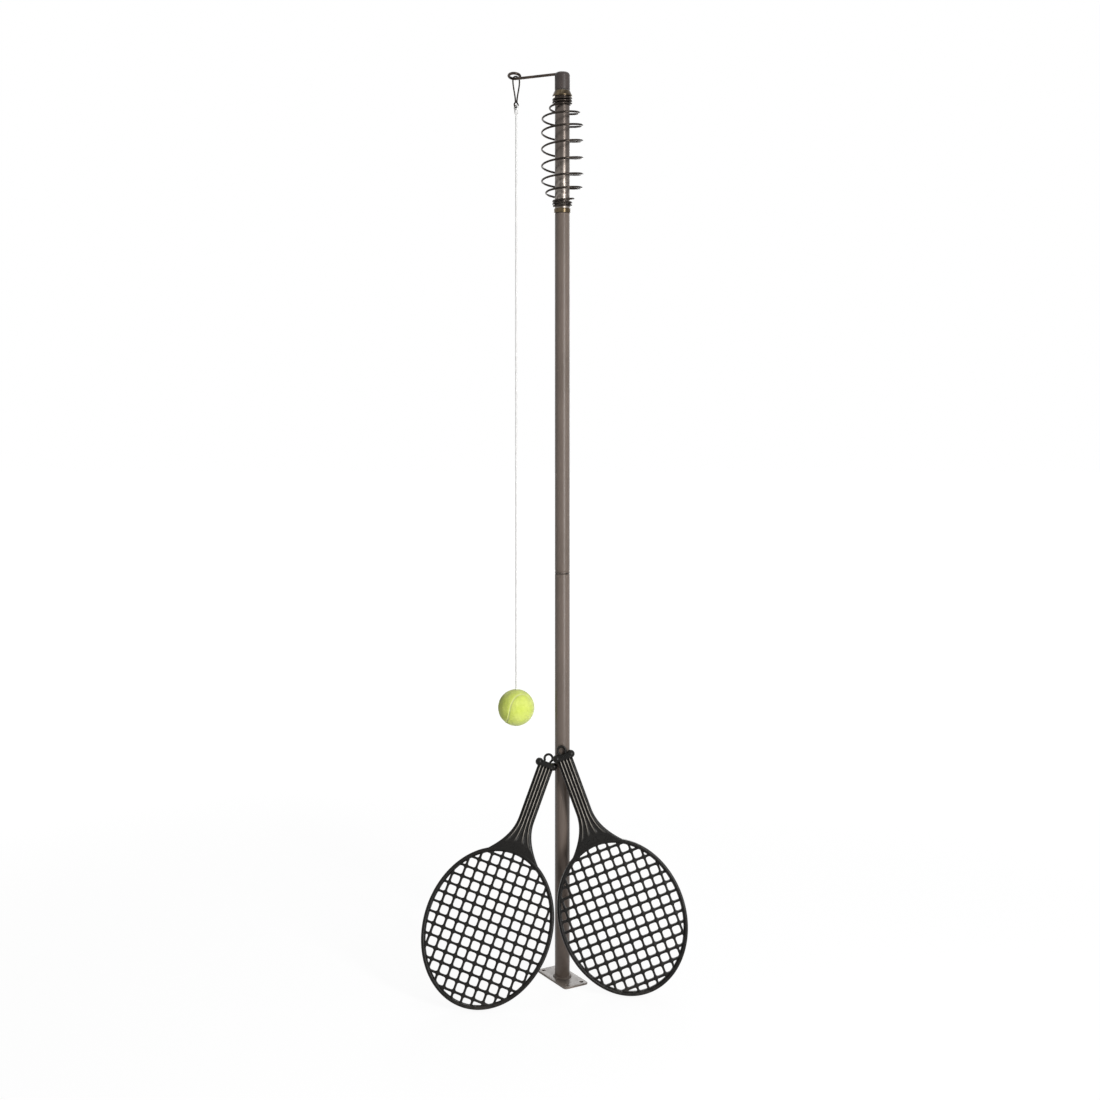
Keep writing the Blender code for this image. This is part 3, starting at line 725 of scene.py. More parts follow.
def spin_profile(bm: Shape, profile: list[Point2], count: int, along: Vector, across: Vector) -> None:
    """Spins (radius, height) points round an axis through the origin.

    Args:
        bm: Where the shape goes.
        profile: The points; a profile that leaves the axis closes on itself.
        count: Steps in the full turn.
        along: The axis.
        across: The direction of the radius at the start.
    """
    verts = [bm.verts.new(across * r + along * h) for r, h in profile]
    pairs = list(zip(verts, verts[1:]))
    if profile[0][0] > 0 or profile[-1][0] > 0:
        pairs.append((verts[-1], verts[0]))
    geom = verts + [bm.edges.new(pair) for pair in pairs]
    bmesh.ops.spin(bm, geom=geom, cent=(0, 0, 0), axis=along, angle=FULL_TURN, steps=count, use_merge=True)


def lathe(name: str, profile: list[Point2], count: int = 96) -> Piece:
    """A piece turned round the pole's axis.

    Args:
        name: The piece's name.
        profile: (radius, height) points.
        count: Steps in the full turn.

    Returns:
        The new object.
    """
    bm = bmesh.new()
    spin_profile(bm, profile, count, UP, RIGHT)
    return finish_mesh(name, bm)


def lipped_tube(inner: float, outer: float, foot: float, top: float, lip: float) -> list[Point2]:
    """The section of a tube with softened ends.

    Args:
        inner: Bore radius.
        outer: Outside radius.
        foot: Lower end.
        top: Upper end.
        lip: How far the outside edge is rounded off.

    Returns:
        The section's points, from the foot's bore to the top's.
    """
    rounds = [(lip * (1 - math.sin(t)), lip * (1 - math.cos(t))) for t in LIP_TURNS]
    low = [(outer - dx, foot + dz) for dz, dx in reversed(rounds)]
    high = [(outer - dx, top - dz) for dz, dx in rounds]
    return [(inner, foot), *low, *high, (inner, top)]


def rod(name: str, lines: list[list[Vector]], diameter: float, closed: bool = False, sides: int = 6) -> Piece:
    """A round wire or rod along one or more lines.

    Args:
        name: The piece's name.
        lines: The centre lines.
        diameter: The wire's diameter.
        closed: Whether each line closes on itself.
        sides: Bevel resolution.

    Returns:
        The new curve object.
    """
    curve = bpy.data.curves.new(name, "CURVE")
    curve.dimensions = "3D"
    curve.bevel_depth = diameter / 2
    curve.bevel_resolution = sides
    curve.use_fill_caps = True
    for line in lines:
        spline = curve.splines.new("POLY")
        spline.points.add(len(line) - 1)
        for point, where in zip(spline.points, line):
            point.co = (*where, 1)
        spline.use_cyclic_u = closed
        spline.use_smooth = True
    return show(name, curve)


def paint(piece: Piece, finish: Finish) -> None:
    """Gives a piece its one finish."""
    piece.data.materials.clear()
    piece.data.materials.append(finish.make())


def dress(piece: Piece, finish: Finish, body: Body, slot: Slot, *nodes: str) -> Piece:
    """Gives a piece its finish and body, and puts it in the place of solids.

    Args:
        piece: The piece.
        finish: Its finish.
        body: The body that it moves with.
        slot: Not used.
        *nodes: The solids that it stands for.

    Returns:
        The piece.
    """
    paint(piece, finish)
    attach(piece, body.value)
    if nodes:
        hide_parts(*nodes)
    LOG.info("%s moves with %s", piece.name, body.value)
    return piece


@dataclass
class GroundPole:
    """The plate on the ground and the lower pole."""

    plate_length: float = 100 * MM
    plate_width: float = 50 * MM
    plate_thickness: float = 3 * MM
    plate_corner: float = 6 * MM
    plate_round: float = 0.5 * MM
    plate_turn: float = math.radians(-59)
    hole_diameter: float = 7.5 * MM
    hole_inset: float = 9.5 * MM
    weld_leg: float = 3 * MM
    weld_power: float = 1.4
    ripple: float = 0.012
    ripple_count: int = 36
    ripple_fade: float = 1 * MM
    pole_radius: float = 13.5 * MM
    pole_bore: float = 12.3 * MM
    pole_lip: float = 1.0 * MM
    lower_length: float = 732 * MM

    @property
    def pole_foot(self) -> float:
        """Where the lower pole starts."""
        return self.plate_thickness + GAP

    @property
    def pole_top(self) -> float:
        """Where the lower pole ends."""
        return self.pole_foot + self.lower_length

    def plate(self) -> Piece:
        """Cuts the plate: a block with rounded corners and rims, with four drilled holes.

        Returns:
            The plate.
        """
        bm = bmesh.new()
        bmesh.ops.create_cube(bm, size=1)
        bmesh.ops.scale(bm, vec=(self.plate_length, self.plate_width, self.plate_thickness), verts=bm.verts)
        bevel = functools.partial(bmesh.ops.bevel, bm, profile=0.5, affect="EDGES", material=-1)

        def rise(edge: bmesh.types.BMEdge) -> float:
            """The height from one end of an edge to the other."""
            return abs(edge.verts[0].co.z - edge.verts[1].co.z)

        posts = [e for e in bm.edges if rise(e) > self.plate_thickness / 2]
        bevel(geom=posts, offset=self.plate_corner, segments=8)
        rims = [e for e in bm.edges if rise(e) < MERGE and e.calc_face_angle(0) > 1]
        bevel(geom=rims, offset=self.plate_round, segments=3)
        plate = finish_mesh("foot_plate", bm)
        cutter = bmesh.new()
        half = self.hole_diameter / 2
        hole_x, hole_y = self.plate_length / 2 - self.hole_inset, self.plate_width / 2 - self.hole_inset
        for x in (-hole_x, hole_x):
            for y in (-hole_y, hole_y):
                place = Matrix.Translation((x, y, 0))
                size = {"radius1": half, "radius2": half, "depth": 4 * self.plate_thickness}
                bmesh.ops.create_cone(cutter, cap_ends=True, segments=40, matrix=place, **size)
        drill = finish_mesh("drill", cutter)
        cut = plate.modifiers.new("holes", "BOOLEAN")
        cut.operation = "DIFFERENCE"
        cut.object = drill
        cut.solver = "EXACT"
        graph = bpy.context.evaluated_depsgraph_get()
        mesh = bpy.data.meshes.new_from_object(plate.evaluated_get(graph))
        plate.modifiers.clear()
        plate.data = mesh
        bpy.data.objects.remove(drill)
        lift = Matrix.Translation((0, 0, self.plate_thickness / 2))
        mesh.transform(lift @ Matrix.Rotation(self.plate_turn, 4, "Z"))
        mesh.set_sharp_from_angle(angle=math.radians(CRISP_ANGLE))
        return plate

    def weld(self) -> Piece:
        """Lays the rippled weld bead round the pole's foot.

        Returns:
            The bead.
        """
        inner = self.pole_radius + GAP / 2
        profile = [(inner, self.pole_foot)]
        for t in steps(QUARTER_TURN, 6):
            out, up = (self.weld_leg * part**self.weld_power for part in (math.cos(t), math.sin(t)))
            profile.append((inner + out, self.pole_foot + up))
        bead = lathe("weld_bead", profile, count=160)
        for vert in bead.data.vertices:
            turn = math.atan2(vert.co.y, vert.co.x)
            out = math.hypot(vert.co.x, vert.co.y) - inner
            ripple = 1 + self.ripple * math.sin(self.ripple_count * turn) * min(out / self.ripple_fade, 1)
            vert.co.x *= ripple
            vert.co.y *= ripple
        return bead

    def build(self) -> None:
        """Makes and dresses the plate, the weld and the lower pole."""
        dress(self.plate(), PLATE_PAINT, Body.GROUND_POLE, Slot.PAINT, "ground_plate")
        dress(self.weld(), POLE_PAINT, Body.GROUND_POLE, Slot.PAINT, "foot_weld")
        section = lipped_tube(self.pole_bore, self.pole_radius, self.pole_foot, self.pole_top, self.pole_lip)
        dress(lathe("lower_tube", section), POLE_PAINT, Body.GROUND_POLE, Slot.PAINT, "lower_pole")


@dataclass
class Mast:
    """The upper pole, the plated head tube, the spiral and its collars."""

    pole: GroundPole
    upper_length: float = 656 * MM
    groove_height: float = 5 * MM
    groove_width: float = 2 * MM
    groove_depth: float = 0.6 * MM
    head_length: float = 222 * MM
    head_lip: float = 0.4 * MM
    collar_height: float = 8 * MM
    collar_wall: float = 1.2 * MM
    collar_lip: float = 0.5 * MM
    cone_height: float = 10 * MM
    cone_rim: float = 18 * MM
    cone_lip: float = 2 * MM
    cone_top_wall: float = 0.8 * MM
    cone_top_round: float = 0.3 * MM
    wire: float = 4.0 * MM
    bulge: float = 36.8 * MM
    open_turns: float = 7.0
    ramp_turns: float = 1.6
    ease: float = 0.25
    end_turns: float = 2.25
    end_pitch: float = 4.8 * MM
    top_drop: float = 1.2 * MM
    foot_rise: float = 2.0 * MM
    start_angle: float = math.radians(20)
    cad_points_per_turn: int = 12
    points_per_turn: int = 48

    @property
    def upper_foot(self) -> float:
        """Where the upper pole starts."""
        return self.pole.pole_top + GAP

    @property
    def head_foot(self) -> float:
        """Where the head tube starts."""
        return self.upper_foot + self.upper_length + GAP

    @property
    def head_top(self) -> float:
        """Where the head tube ends."""
        return self.head_foot + self.head_length

    def spiral_line(self) -> list[Vector]:
        """The spiral's centre line from its top end: close end turns round a barrel of open turns.

        Returns:
            The line's points.
        """
        tight = (self.pole.pole_radius + GAP + self.wire / 2) / math.cos(math.pi / self.cad_points_per_turn)
        top = self.head_top - self.cone_height - self.top_drop - self.wire / 2
        foot = self.head_foot + self.collar_height + self.foot_rise + self.wire / 2
        open_height = top - foot - 2 * self.end_turns * self.end_pitch
        turns = self.open_turns + 2 * self.end_turns
        line = []
        for turn in steps(turns, round(turns * self.points_per_turn)):
            along = clamp((turn - self.end_turns) / self.open_turns)
            eased = along - math.sin(FULL_TURN * along) / FULL_TURN * self.ease
            height = top - (turn - self.open_turns * along) * self.end_pitch - open_height * eased
            ramp = min(min(along, 1 - along) * self.open_turns / self.ramp_turns, 1)
            radius = tight + (self.bulge - tight) * math.sin(QUARTER_TURN * ramp)
            angle = self.start_angle - FULL_TURN * turn
            line.append(Vector((radius * math.cos(angle), radius * math.sin(angle), height)))
        return line

    def upper_section(self) -> list[Point2]:
        """The upper pole's section, with a rolled groove near its foot.

        Returns:
            The section's points.
        """
        radius, top = self.pole.pole_radius, self.upper_foot + self.upper_length
        section = lipped_tube(self.pole.pole_bore, radius, self.upper_foot, top, self.pole.pole_lip)
        middle = self.upper_foot + self.groove_height
        after_lip = 1 + len(LIP_TURNS)
        section[after_lip:after_lip] = [
            (radius - self.groove_depth * math.sin(t), middle - self.groove_width / 2 * math.cos(t))
            for t in steps(math.pi, 8)
        ]
        return section

    def cone_section(self) -> list[Point2]:
        """The section of the cone-shaped collar under the cap.

        Returns:
            The section's points.
        """
        inner = self.pole.pole_radius + GAP
        foot, rim, lip = self.head_top - self.cone_height, self.cone_rim, self.collar_lip
        return [
            (inner, foot),
            (rim - lip, foot),
            (rim - lip * 0.3, foot + lip * 0.3),
            (rim, foot + lip),
            (rim, foot + self.cone_lip),
            (rim - lip * 0.4, foot + self.cone_lip + lip * 0.6),
            (inner + self.cone_top_wall, self.head_top - lip),
            (inner + self.cone_top_wall - self.cone_top_round, self.head_top),
            (inner, self.head_top),
        ]

    def build(self) -> None:
        """Makes and dresses the mast's pieces."""
        upper = lathe("upper_tube", self.upper_section())
        dress(upper, UPPER_POLE_PAINT, Body.MAST, Slot.PAINT, "upper_pole")
        radius, foot = self.pole.pole_radius, self.head_foot
        head = lipped_tube(self.pole.pole_bore, radius, foot, self.head_top, self.head_lip)
        dress(lathe("plated_tube", head), TUBE_PLATING, Body.MAST, Slot.PLATING, "head_tube")
        inner = radius + GAP
        ring = lipped_tube(inner, inner + self.collar_wall, foot, foot + self.collar_height, self.collar_lip)
        dress(lathe("spiral_foot_ring", ring), COLLAR_PLATING, Body.MAST, Slot.PLATING, "foot_collar")
        cone = lathe("cone_collar", self.cone_section())
        dress(cone, COLLAR_PLATING, Body.MAST, Slot.PLATING, "thrust_collar")
        spiral = rod("wire_spiral", [self.spiral_line()], self.wire, sides=4)
        dress(spiral, SPIRAL_PLATING, Body.MAST, Slot.PLATING, "score_spiral")


@dataclass
class Rotor:
    """The domed cap and its bent arm with the eye."""

    mast: Mast
    washer: float = 1.2 * MM
    bush_diameter: float = 18 * MM
    bush_length: float = 18 * MM
    ring_thickness: float = 1.0 * MM
    nose: float = 2.4 * MM
    headroom: float = 1.0 * MM
    roof: float = 9.6 * MM
    roof_share: float = 0.79
    cap_radius: float = 13.8 * MM
    cap_lip: float = 0.6 * MM
    dome: float = 6 * MM
    arm: float = 5.2 * MM
    reach: float = 89 * MM
    turn: float = math.radians(162)
    slope: float = math.radians(-1.7)
    root: float = 2 * MM
    eye: float = 10.25 * MM
    eye_tilt: float = math.radians(15)
    eye_gap: float = 0.6 * MM

    @property
    def cap_foot(self) -> float:
        """The cap's lower edge."""
        return self.mast.head_top + GAP + self.washer + GAP

    @property
    def bore_top(self) -> float:
        """The roof of the cap's bore."""
        return self.cap_foot + self.bush_length + GAP + self.ring_thickness + GAP + self.nose + self.headroom

    @property
    def axis(self) -> Vector:
        """The arm's direction."""
        flat = math.cos(self.slope)
        return Vector((math.cos(self.turn) * flat, math.sin(self.turn) * flat, math.sin(self.slope)))

    @property
    def side(self) -> Vector:
        """The level direction square to the arm, to its rear."""
        return Vector((math.sin(self.turn), -math.cos(self.turn), 0))

    @property
    def arm_centre(self) -> Vector:
        """Where the arm's line meets the pole's axis."""
        return Vector((0, 0, self.bore_top + self.roof * self.roof_share))

    @property
    def hang_point(self) -> Vector:
        """Where the link hangs on the eye."""
        return self.arm_centre + self.axis * (self.reach / math.cos(self.slope))

    def arm_line(self) -> list[Vector]:
        """The arm's centre line, out of the cap and round the eye.

        Returns:
            The line's points.
        """
        lift = (self.side * -math.cos(self.eye_tilt) + UP * math.sin(self.eye_tilt)).normalized()
        centre = self.hang_point + lift * self.eye
        sweep = FULL_TURN - math.acos(1 - (self.arm + self.eye_gap) / self.eye)
        line = [self.arm_centre + self.axis * self.root, self.arm_centre + self.axis * (self.reach / 2)]
        for t in steps(sweep, 60):
            line.append(centre - lift * (self.eye * math.cos(t)) + self.axis * (self.eye * math.sin(t)))
        return line

    def build(self) -> None:
        """Makes and dresses the cap and the arm."""
        top = self.bore_top + self.roof
        bore = self.bush_diameter / 2 + GAP
        dome = [
            (self.cap_radius - self.dome * (1 - math.cos(t)), top - self.dome * (1 - math.sin(t)))
            for t in steps(QUARTER_TURN, 14)
        ]
        profile = [
            (0, self.bore_top),
            (bore, self.bore_top),
            (bore, self.cap_foot),
            (self.cap_radius - self.cap_lip, self.cap_foot),
            (self.cap_radius, self.cap_foot + self.cap_lip),
            *dome,
            (0, top),
        ]
        dress(lathe("domed_cap", profile), CAP_PAINT, Body.ROTOR, Slot.PAINT, "rotor_cap")
        arm = rod("bent_arm", [self.arm_line()], self.arm)
        dress(arm, ARM_PLATING, Body.ROTOR, Slot.PLATING, "rotor_arm")


@dataclass
class Link:
    """The pinched wire link that hangs in the eye."""

    rotor: Rotor
    wire: float = 2.8 * MM
    bow: float = 8 * MM
    neck_drop: float = 40 * MM
    neck_gap: float = 0.8 * MM
    ring: float = 4.5 * MM
    turn: float = math.radians(-30)

    @property
    def across(self) -> Vector:
        """The level direction in the link's own plane."""
        arm = self.rotor.axis
        flat = Vector((arm.x, arm.y, 0))
        return (self.rotor.side * math.cos(self.turn) + flat * math.sin(self.turn)).normalized()

    @property
    def top(self) -> float:
        """The height of the bow over the hang point."""
        return self.rotor.arm / 2 + GAP + self.wire / 2

    @property
    def ring_centre(self) -> float:
        """The height of the small ring's centre over the hang point."""
        return self.top - self.bow - self.neck_drop - self.ring

    @property
    def foot(self) -> float:
        """The height of the link's lowest centre-line point over the hang point."""
        return self.ring_centre - self.ring

    def line(self) -> list[Vector]:
        """The closed centre line: bow, pinched neck and small ring.

        Returns:
            The line's points, in place.
        """
        neck = (self.wire + self.neck_gap) / 2
        middle = self.top - self.bow
        half = [(self.bow * math.sin(t), middle + self.bow * math.cos(t)) for t in steps(QUARTER_TURN, 16)]
        for share in steps(1.0, 20)[1:]:
            half.append((self.bow + (neck - self.bow) * smooth(share), middle - self.neck_drop * share))
        for t in steps(math.pi, 20, math.asin(neck / self.ring)):
            half.append((self.ring * math.sin(t), self.ring_centre + self.ring * math.cos(t)))
        whole = half + [(-x, z) for x, z in reversed(half[1:-1])]
        return [self.rotor.hang_point + self.across * x + UP * z for x, z in whole]

    def build(self) -> None:
        """Makes and dresses the link."""
        link = rod("wire_link", [self.line()], self.wire, closed=True, sides=5)
        dress(link, LINK_PLATING, Body.LINK, Slot.PLATING, "tether_link")


@dataclass
class Tether:
    """The knotted cord and the ball."""

    link: Link
    cord: float = 3.5 * MM
    loop: float = 4.4 * MM
    knot: float = 7.5 * MM
    knot_length: float = 9 * MM
    length: float = 1067 * MM
    ball_radius: float = 33.25 * MM
    felt: float = 3.2 * MM
    core_wall: float = 3.4 * MM
    stopper: float = 16 * MM
    seam_width: float = 1.3 * MM
    seam_depth: float = 0.6 * MM
    seam_edge: Point2 = (0.6, 0.7)
    seam_shape: Point2 = (0.73, 0.27)
    seam_pose: tuple[tuple[float, str], ...] = ((-14, "X"), (-20, "Y"), (70, "Z"), (38, "X"))
    nap: float = 0.55 * MM
    nap_short: float = 0.25
    nap_lean: float = 0.35 * MM
    skin_drop: float = 0.4 * MM
    lumps: tuple[Point2, ...] = ((0.35 * MM, 9), (0.2 * MM, 26))
    knot_wraps: float = 2.5
    loop_pinch: float = 0.55
    pinch_run: float = 0.9
    strands_around: int = 4
    strands_along: int = 340
    strand_depth: float = 0.07 * MM

    @property
    def loop_centre(self) -> float:
        """The height of the loop's centre over the hang point."""
        return self.link.foot + self.link.wire / 2 + GAP + self.cord / 2 - self.loop

    @property
    def knot_top(self) -> float:
        """The height of the knot's top over the hang point."""
        return self.loop_centre - self.loop + self.cord / 2

    @property
    def exit(self) -> Vector:
        """Where the free cord leaves its knot."""
        return self.link.rotor.hang_point + UP * (self.knot_top - self.knot_length - GAP)

    @property
    def ball_centre(self) -> Vector:
        """The ball's centre."""
        bore = self.ball_radius - self.felt - GAP - self.core_wall
        inside = math.sqrt(bore**2 - (self.stopper / 2) ** 2) - 2 * GAP
        return self.exit - UP * (self.length + inside)

    def knot_piece(self) -> Piece:
        """Ties the knot: a loop through the link's ring and close wraps round its neck.

        Returns:
            The knot.
        """
        hang, across = self.link.rotor.hang_point, self.link.across
        side = UP.cross(across)
        centre = hang + UP * self.loop_centre
        loop = []
        for turn in steps(math.pi + FULL_TURN, 48, math.pi):
            pinch = self.loop_pinch + (1 - self.loop_pinch) * min(1, (1 + math.cos(turn)) / self.pinch_run)
            out, lift = self.loop * math.sin(turn) * pinch, self.loop * math.cos(turn)
            loop.append(centre + side * out + UP * lift)
        wraps = []
        radius, rise = (self.knot - self.cord) / 2, self.knot_length - self.cord
        top = self.knot_top - self.cord / 2
        for share in steps(1.0, 72):
            turn = FULL_TURN * self.knot_wraps * share
            out = across * (radius * math.cos(turn)) + side * (radius * math.sin(turn))
            wraps.append(hang + out + UP * (top - rise * share))
        core = [hang + UP * (top - self.knot_length * i / 4) for i in range(4)]
        core.append(hang + UP * (self.knot_top - self.knot_length))
        return rod("cord_tie", [loop, wraps, core], self.cord, sides=4)

    def cord_piece(self) -> Piece:
        """Weaves the cord: a tube whose skin rises and falls with its crossing strands.

        Returns:
            The cord.
        """
        bm = bmesh.new()
        bm.loops.layers.uv.new("UVMap")
        bmesh.ops.create_grid(bm, x_segments=24, y_segments=1180, size=0.5, calc_uvs=True)
        start = self.exit
        for vert in bm.verts:
            share, down = vert.co.x + 0.5, 0.5 - vert.co.y
            first = share * self.strands_around + down * self.strands_along
            second = share * self.strands_around - down * self.strands_along
            over = (math.floor(first) + math.floor(second)) % 2
            ridge = abs(math.sin(math.pi * (first if over else second)))
            radius = self.cord / 2 - self.strand_depth * (1 - ridge)
            turn = FULL_TURN * share
            vert.co = start + Vector((radius * math.cos(turn), radius * math.sin(turn), -self.length * down))
        bmesh.ops.remove_doubles(bm, verts=bm.verts, dist=MERGE)
        ends = [e for e in bm.edges if e.is_boundary]
        bmesh.ops.holes_fill(bm, edges=ends, sides=0)
        return finish_mesh("white_cord", bm, angle=60)

    def seam_tree(self) -> kdtree.KDTree:
        """Points along the ball's one curved seam, for finding how near a place is to it.

        Returns:
            The search tree, on the unit ball.
        """
        count = 720
        wide, narrow = self.seam_shape
        tree = kdtree.KDTree(count)
        pose = Matrix.Identity(3)
        for degrees, axis in self.seam_pose:
            pose = pose @ Matrix.Rotation(math.radians(degrees), 3, axis)
        for i, t in enumerate(steps(FULL_TURN, count)[:-1]):
            x = wide * math.cos(t) + narrow * math.cos(3 * t)
            y = wide * math.sin(t) - narrow * math.sin(3 * t)
            z = 2 * math.sqrt(wide * narrow) * math.sin(2 * t)
            tree.insert(pose @ Vector((x, y, z)), i)
        tree.balance()
        return tree

    def ball_piece(self) -> Piece:
        """Covers the ball: a sphere with a sunk seam and a short ragged nap.

        Returns:
            The felt cover.
        """
        tree = self.seam_tree()
        bm = bmesh.new()
        mark = bm.verts.layers.float.new("seam")
        bmesh.ops.create_icosphere(bm, subdivisions=6, radius=1)
        noise.seed_set(7)
        old = set(bm.verts)
        bmesh.ops.poke(bm, faces=[f for f in bm.faces if f.index % 2 == 0])
        for vert in bm.verts:
            way = vert.co.normalized()
            tall = vert not in old
            away = tree.find(way)[2] * self.ball_radius
            share = smooth(1 - clamp((away / self.seam_width - self.seam_edge[0]) / self.seam_edge[1]))
            vert[mark] = share
            lump = sum(depth * noise.noise(way * scale) for depth, scale in self.lumps)
            tuft = self.nap * ((1 if tall else self.nap_short) * noise.random())
            height = self.ball_radius - self.skin_drop - self.seam_depth * share + (lump + tuft) * (1 - share)
            lean = noise.random_unit_vector() * (self.nap_lean if tall else 0)
            vert.co = self.ball_centre + way * height + lean * (1 - share)
        return finish_mesh("felt_cover", bm, angle=180)

    def build(self) -> None:
        knot = dress(self.knot_piece(), KNOT_BRAID, Body.TETHER, Slot.CORD, "cord_knot")
        cord = dress(self.cord_piece(), BRAID, Body.TETHER, Slot.CORD, "tether_cord")
        dress(self.ball_piece(), FELT, Body.TETHER, Slot.FELT, "ball_felt")


def clip(outline: list[Vector], first: Vector, second: Vector) -> list[Vector]:
    """Cuts off the part of an outline that lies to the right of a line.

    Args:
        outline: The outline's points.
        first: Where the line starts.
        second: Where the line ends.

    Returns:
        The part to the left of the line.
    """
    way = second - first

    def side(point: Vector) -> float:
        """How far a point lies to the left, times the line's length."""
        return way.x * (point.y - first.y) - way.y * (point.x - first.x)

    kept = []
    for point, after in onward(outline):
        here, there = side(point), side(after)
        if here >= 0:
            kept.append(point)
        if here * there < 0:
            kept.append(point.lerp(after, here / (here - there)))
    return kept


@dataclass
class Racket:
    """A moulded racket: rounded rim, square-celled grid, finned handle, beaded butt and hanging loop."""

    name: str
    body: Body
    centre: Point2
    roll: float
    half_length: float = 137 * MM
    half_width: float = 113 * MM
    rim_width: float = 7 * MM
    rim_depth: float = 14 * MM
    pitch: float = 18.2 * MM
    bar: float = 4.2 * MM
    grid_depth: float = 6 * MM
    grid_edge: float = 0.6 * MM
    cell_reach: float = 0.985
    cell_least: float = 5 * MM * MM
    cell_round: float = 3.8 * MM
    butt: float = 296 * MM
    handle_width: float = 29 * MM
    handle_depth: float = 13.4 * MM
    throat_depth: float = 12 * MM
    throat_top: float = 196 * MM
    throat_half_width: float = 62 * MM
    fins: int = 6
    channel_depth: float = 4.5 * MM
    bead: float = 7.25 * MM
    bead_spacing: float = 27 * MM
    waist: float = 4.75 * MM
    loop_hole: float = 10 * MM
    loop_wire: float = 4.4 * MM
    loop_turn: float = math.radians(40)
    loop_foot: float = 1.2 * MM
    pole_radius: float = 13.5 * MM
    rim_steps: int = 160
    rim_power: float = 0.6
    wall_rounds: tuple[Point2, ...] = ((0.5 * MM, 0.0), (0.15 * MM, 0.15 * MM), (0.0, 0.5 * MM))
    grid_lap: float = 1.5 * MM
    flare_power: float = 2.4
    throat_run: float = 2.2
    depth_power: float = 1.2
    edge_power: int = 12
    edge_share: float = 0.75
    channel_span: Point2 = (0.28, 0.5)
    crest_span: Point2 = (0.34, 0.16)
    side_span: Point2 = (0.99, 0.02)
    fin_start: Point2 = (0.1, 0.22)
    fin_end: Point2 = (0.965, 0.015)
    loop_sink: float = 2 * MM

    def lean(self) -> float:
        """The lean that rests the nearer butt bead, or the handle's back, on the pole.

        Returns:
            The lean in radians.
        """
        touch = self.pole_radius + self.bead + GAP
        leans = []
        for bead in (-self.bead_spacing / 2, self.bead_spacing / 2):
            x = self.centre[0] + self.butt * math.sin(self.roll) + bead * math.cos(self.roll)
            rise = self.butt * math.cos(self.roll) - bead * math.sin(self.roll)
            if abs(x) < touch:
                leans.append(math.asin((-math.sqrt(touch**2 - x**2) - self.centre[1]) / rise))
        if abs(self.centre[0] + self.butt * math.sin(self.roll)) < self.handle_width / 2:
            back = self.pole_radius + GAP + self.handle_depth / 2
            leans.append(math.asin((-back - self.centre[1]) / (self.butt * math.cos(self.roll))))
        return min(leans)

    def stand(self) -> Matrix:
        """The racket's place: its own X is its width, Y its length towards the butt and Z its face.

        Returns:
            The matrix that stands it on the ground.
        """
        lean = self.lean()
        up = Vector((0, math.sin(lean), math.cos(lean)))
        length = up * math.cos(self.roll) + RIGHT * math.sin(self.roll)
        width = RIGHT * math.cos(self.roll) - up * math.sin(self.roll)
        reach = math.hypot(self.half_length * math.cos(self.roll), self.half_width * math.sin(self.roll))
        height = reach * math.cos(lean) + self.rim_depth / 2 * math.sin(lean)
        turn = Matrix((width, length, width.cross(length))).transposed().to_4x4()
        return Matrix.Translation((*self.centre, height)) @ turn

    def ring_of(self, bm: Shape, inset: float, height: float) -> list[bmesh.types.BMEdge]:
        """Draws one oval round the head.

        Args:
            bm: Where the oval goes.
            inset: How far inside the rim's outer edge it runs.
            height: Its height over the racket's middle plane.

        Returns:
            The oval's edges.
        """
        made = bmesh.ops.create_circle(bm, segments=self.rim_steps, radius=1)["verts"]
        bmesh.ops.scale(bm, vec=(self.half_width - inset, self.half_length - inset, 1), verts=made)
        bmesh.ops.translate(bm, vec=(0, 0, height), verts=made)
        return list({edge for vert in made for edge in vert.link_edges})

    def rim(self, bm: Shape) -> None:
        """Sweeps the rounded rim round the head.

        Args:
            bm: Where the rim goes.
        """
        half_w, half_d = self.rim_width / 2, self.rim_depth / 2
        made = bmesh.ops.create_grid(bm, x_segments=self.rim_steps, y_segments=24, size=0.5)["verts"]
        for vert in made:
            around, section = FULL_TURN * (vert.co.x + 0.5), FULL_TURN * (vert.co.y + 0.5)
            sides = math.cos(section), math.sin(section)
            x, z = (math.copysign(abs(side) ** self.rim_power, side) for side in sides)
            inset = half_w - half_w * x
            wide, long = self.half_width - inset, self.half_length - inset
            vert.co = (wide * math.cos(around), long * math.sin(around), half_d * z)
        bmesh.ops.remove_doubles(bm, verts=made, dist=MERGE)

    def soften(self, outline: list[Vector]) -> list[Vector]:
        """Rounds the sharp corners of an outline.

        Args:
            outline: The outline's points.

        Returns:
            The outline with a short curve at each corner.
        """
        straight, most = math.radians(160), 0.45
        soft = []
        for before, point, after in zip(outline[-1:] + outline[:-1], outline, outline[1:] + outline[:1]):
            back, ahead = before - point, after - point
            if back.length < MERGE or ahead.length < MERGE:
                continue
            if back.angle(ahead) > straight:
                soft.append(point)
                continue
            cut = min(self.cell_round, most * back.length, most * ahead.length)
            first, last = point + back.normalized() * cut, point + ahead.normalized() * cut
            for t in steps(1.0, 5):
                soft.append(first * (1 - t) ** 2 + point * (2 * t * (1 - t)) + last * t**2)
        return soft

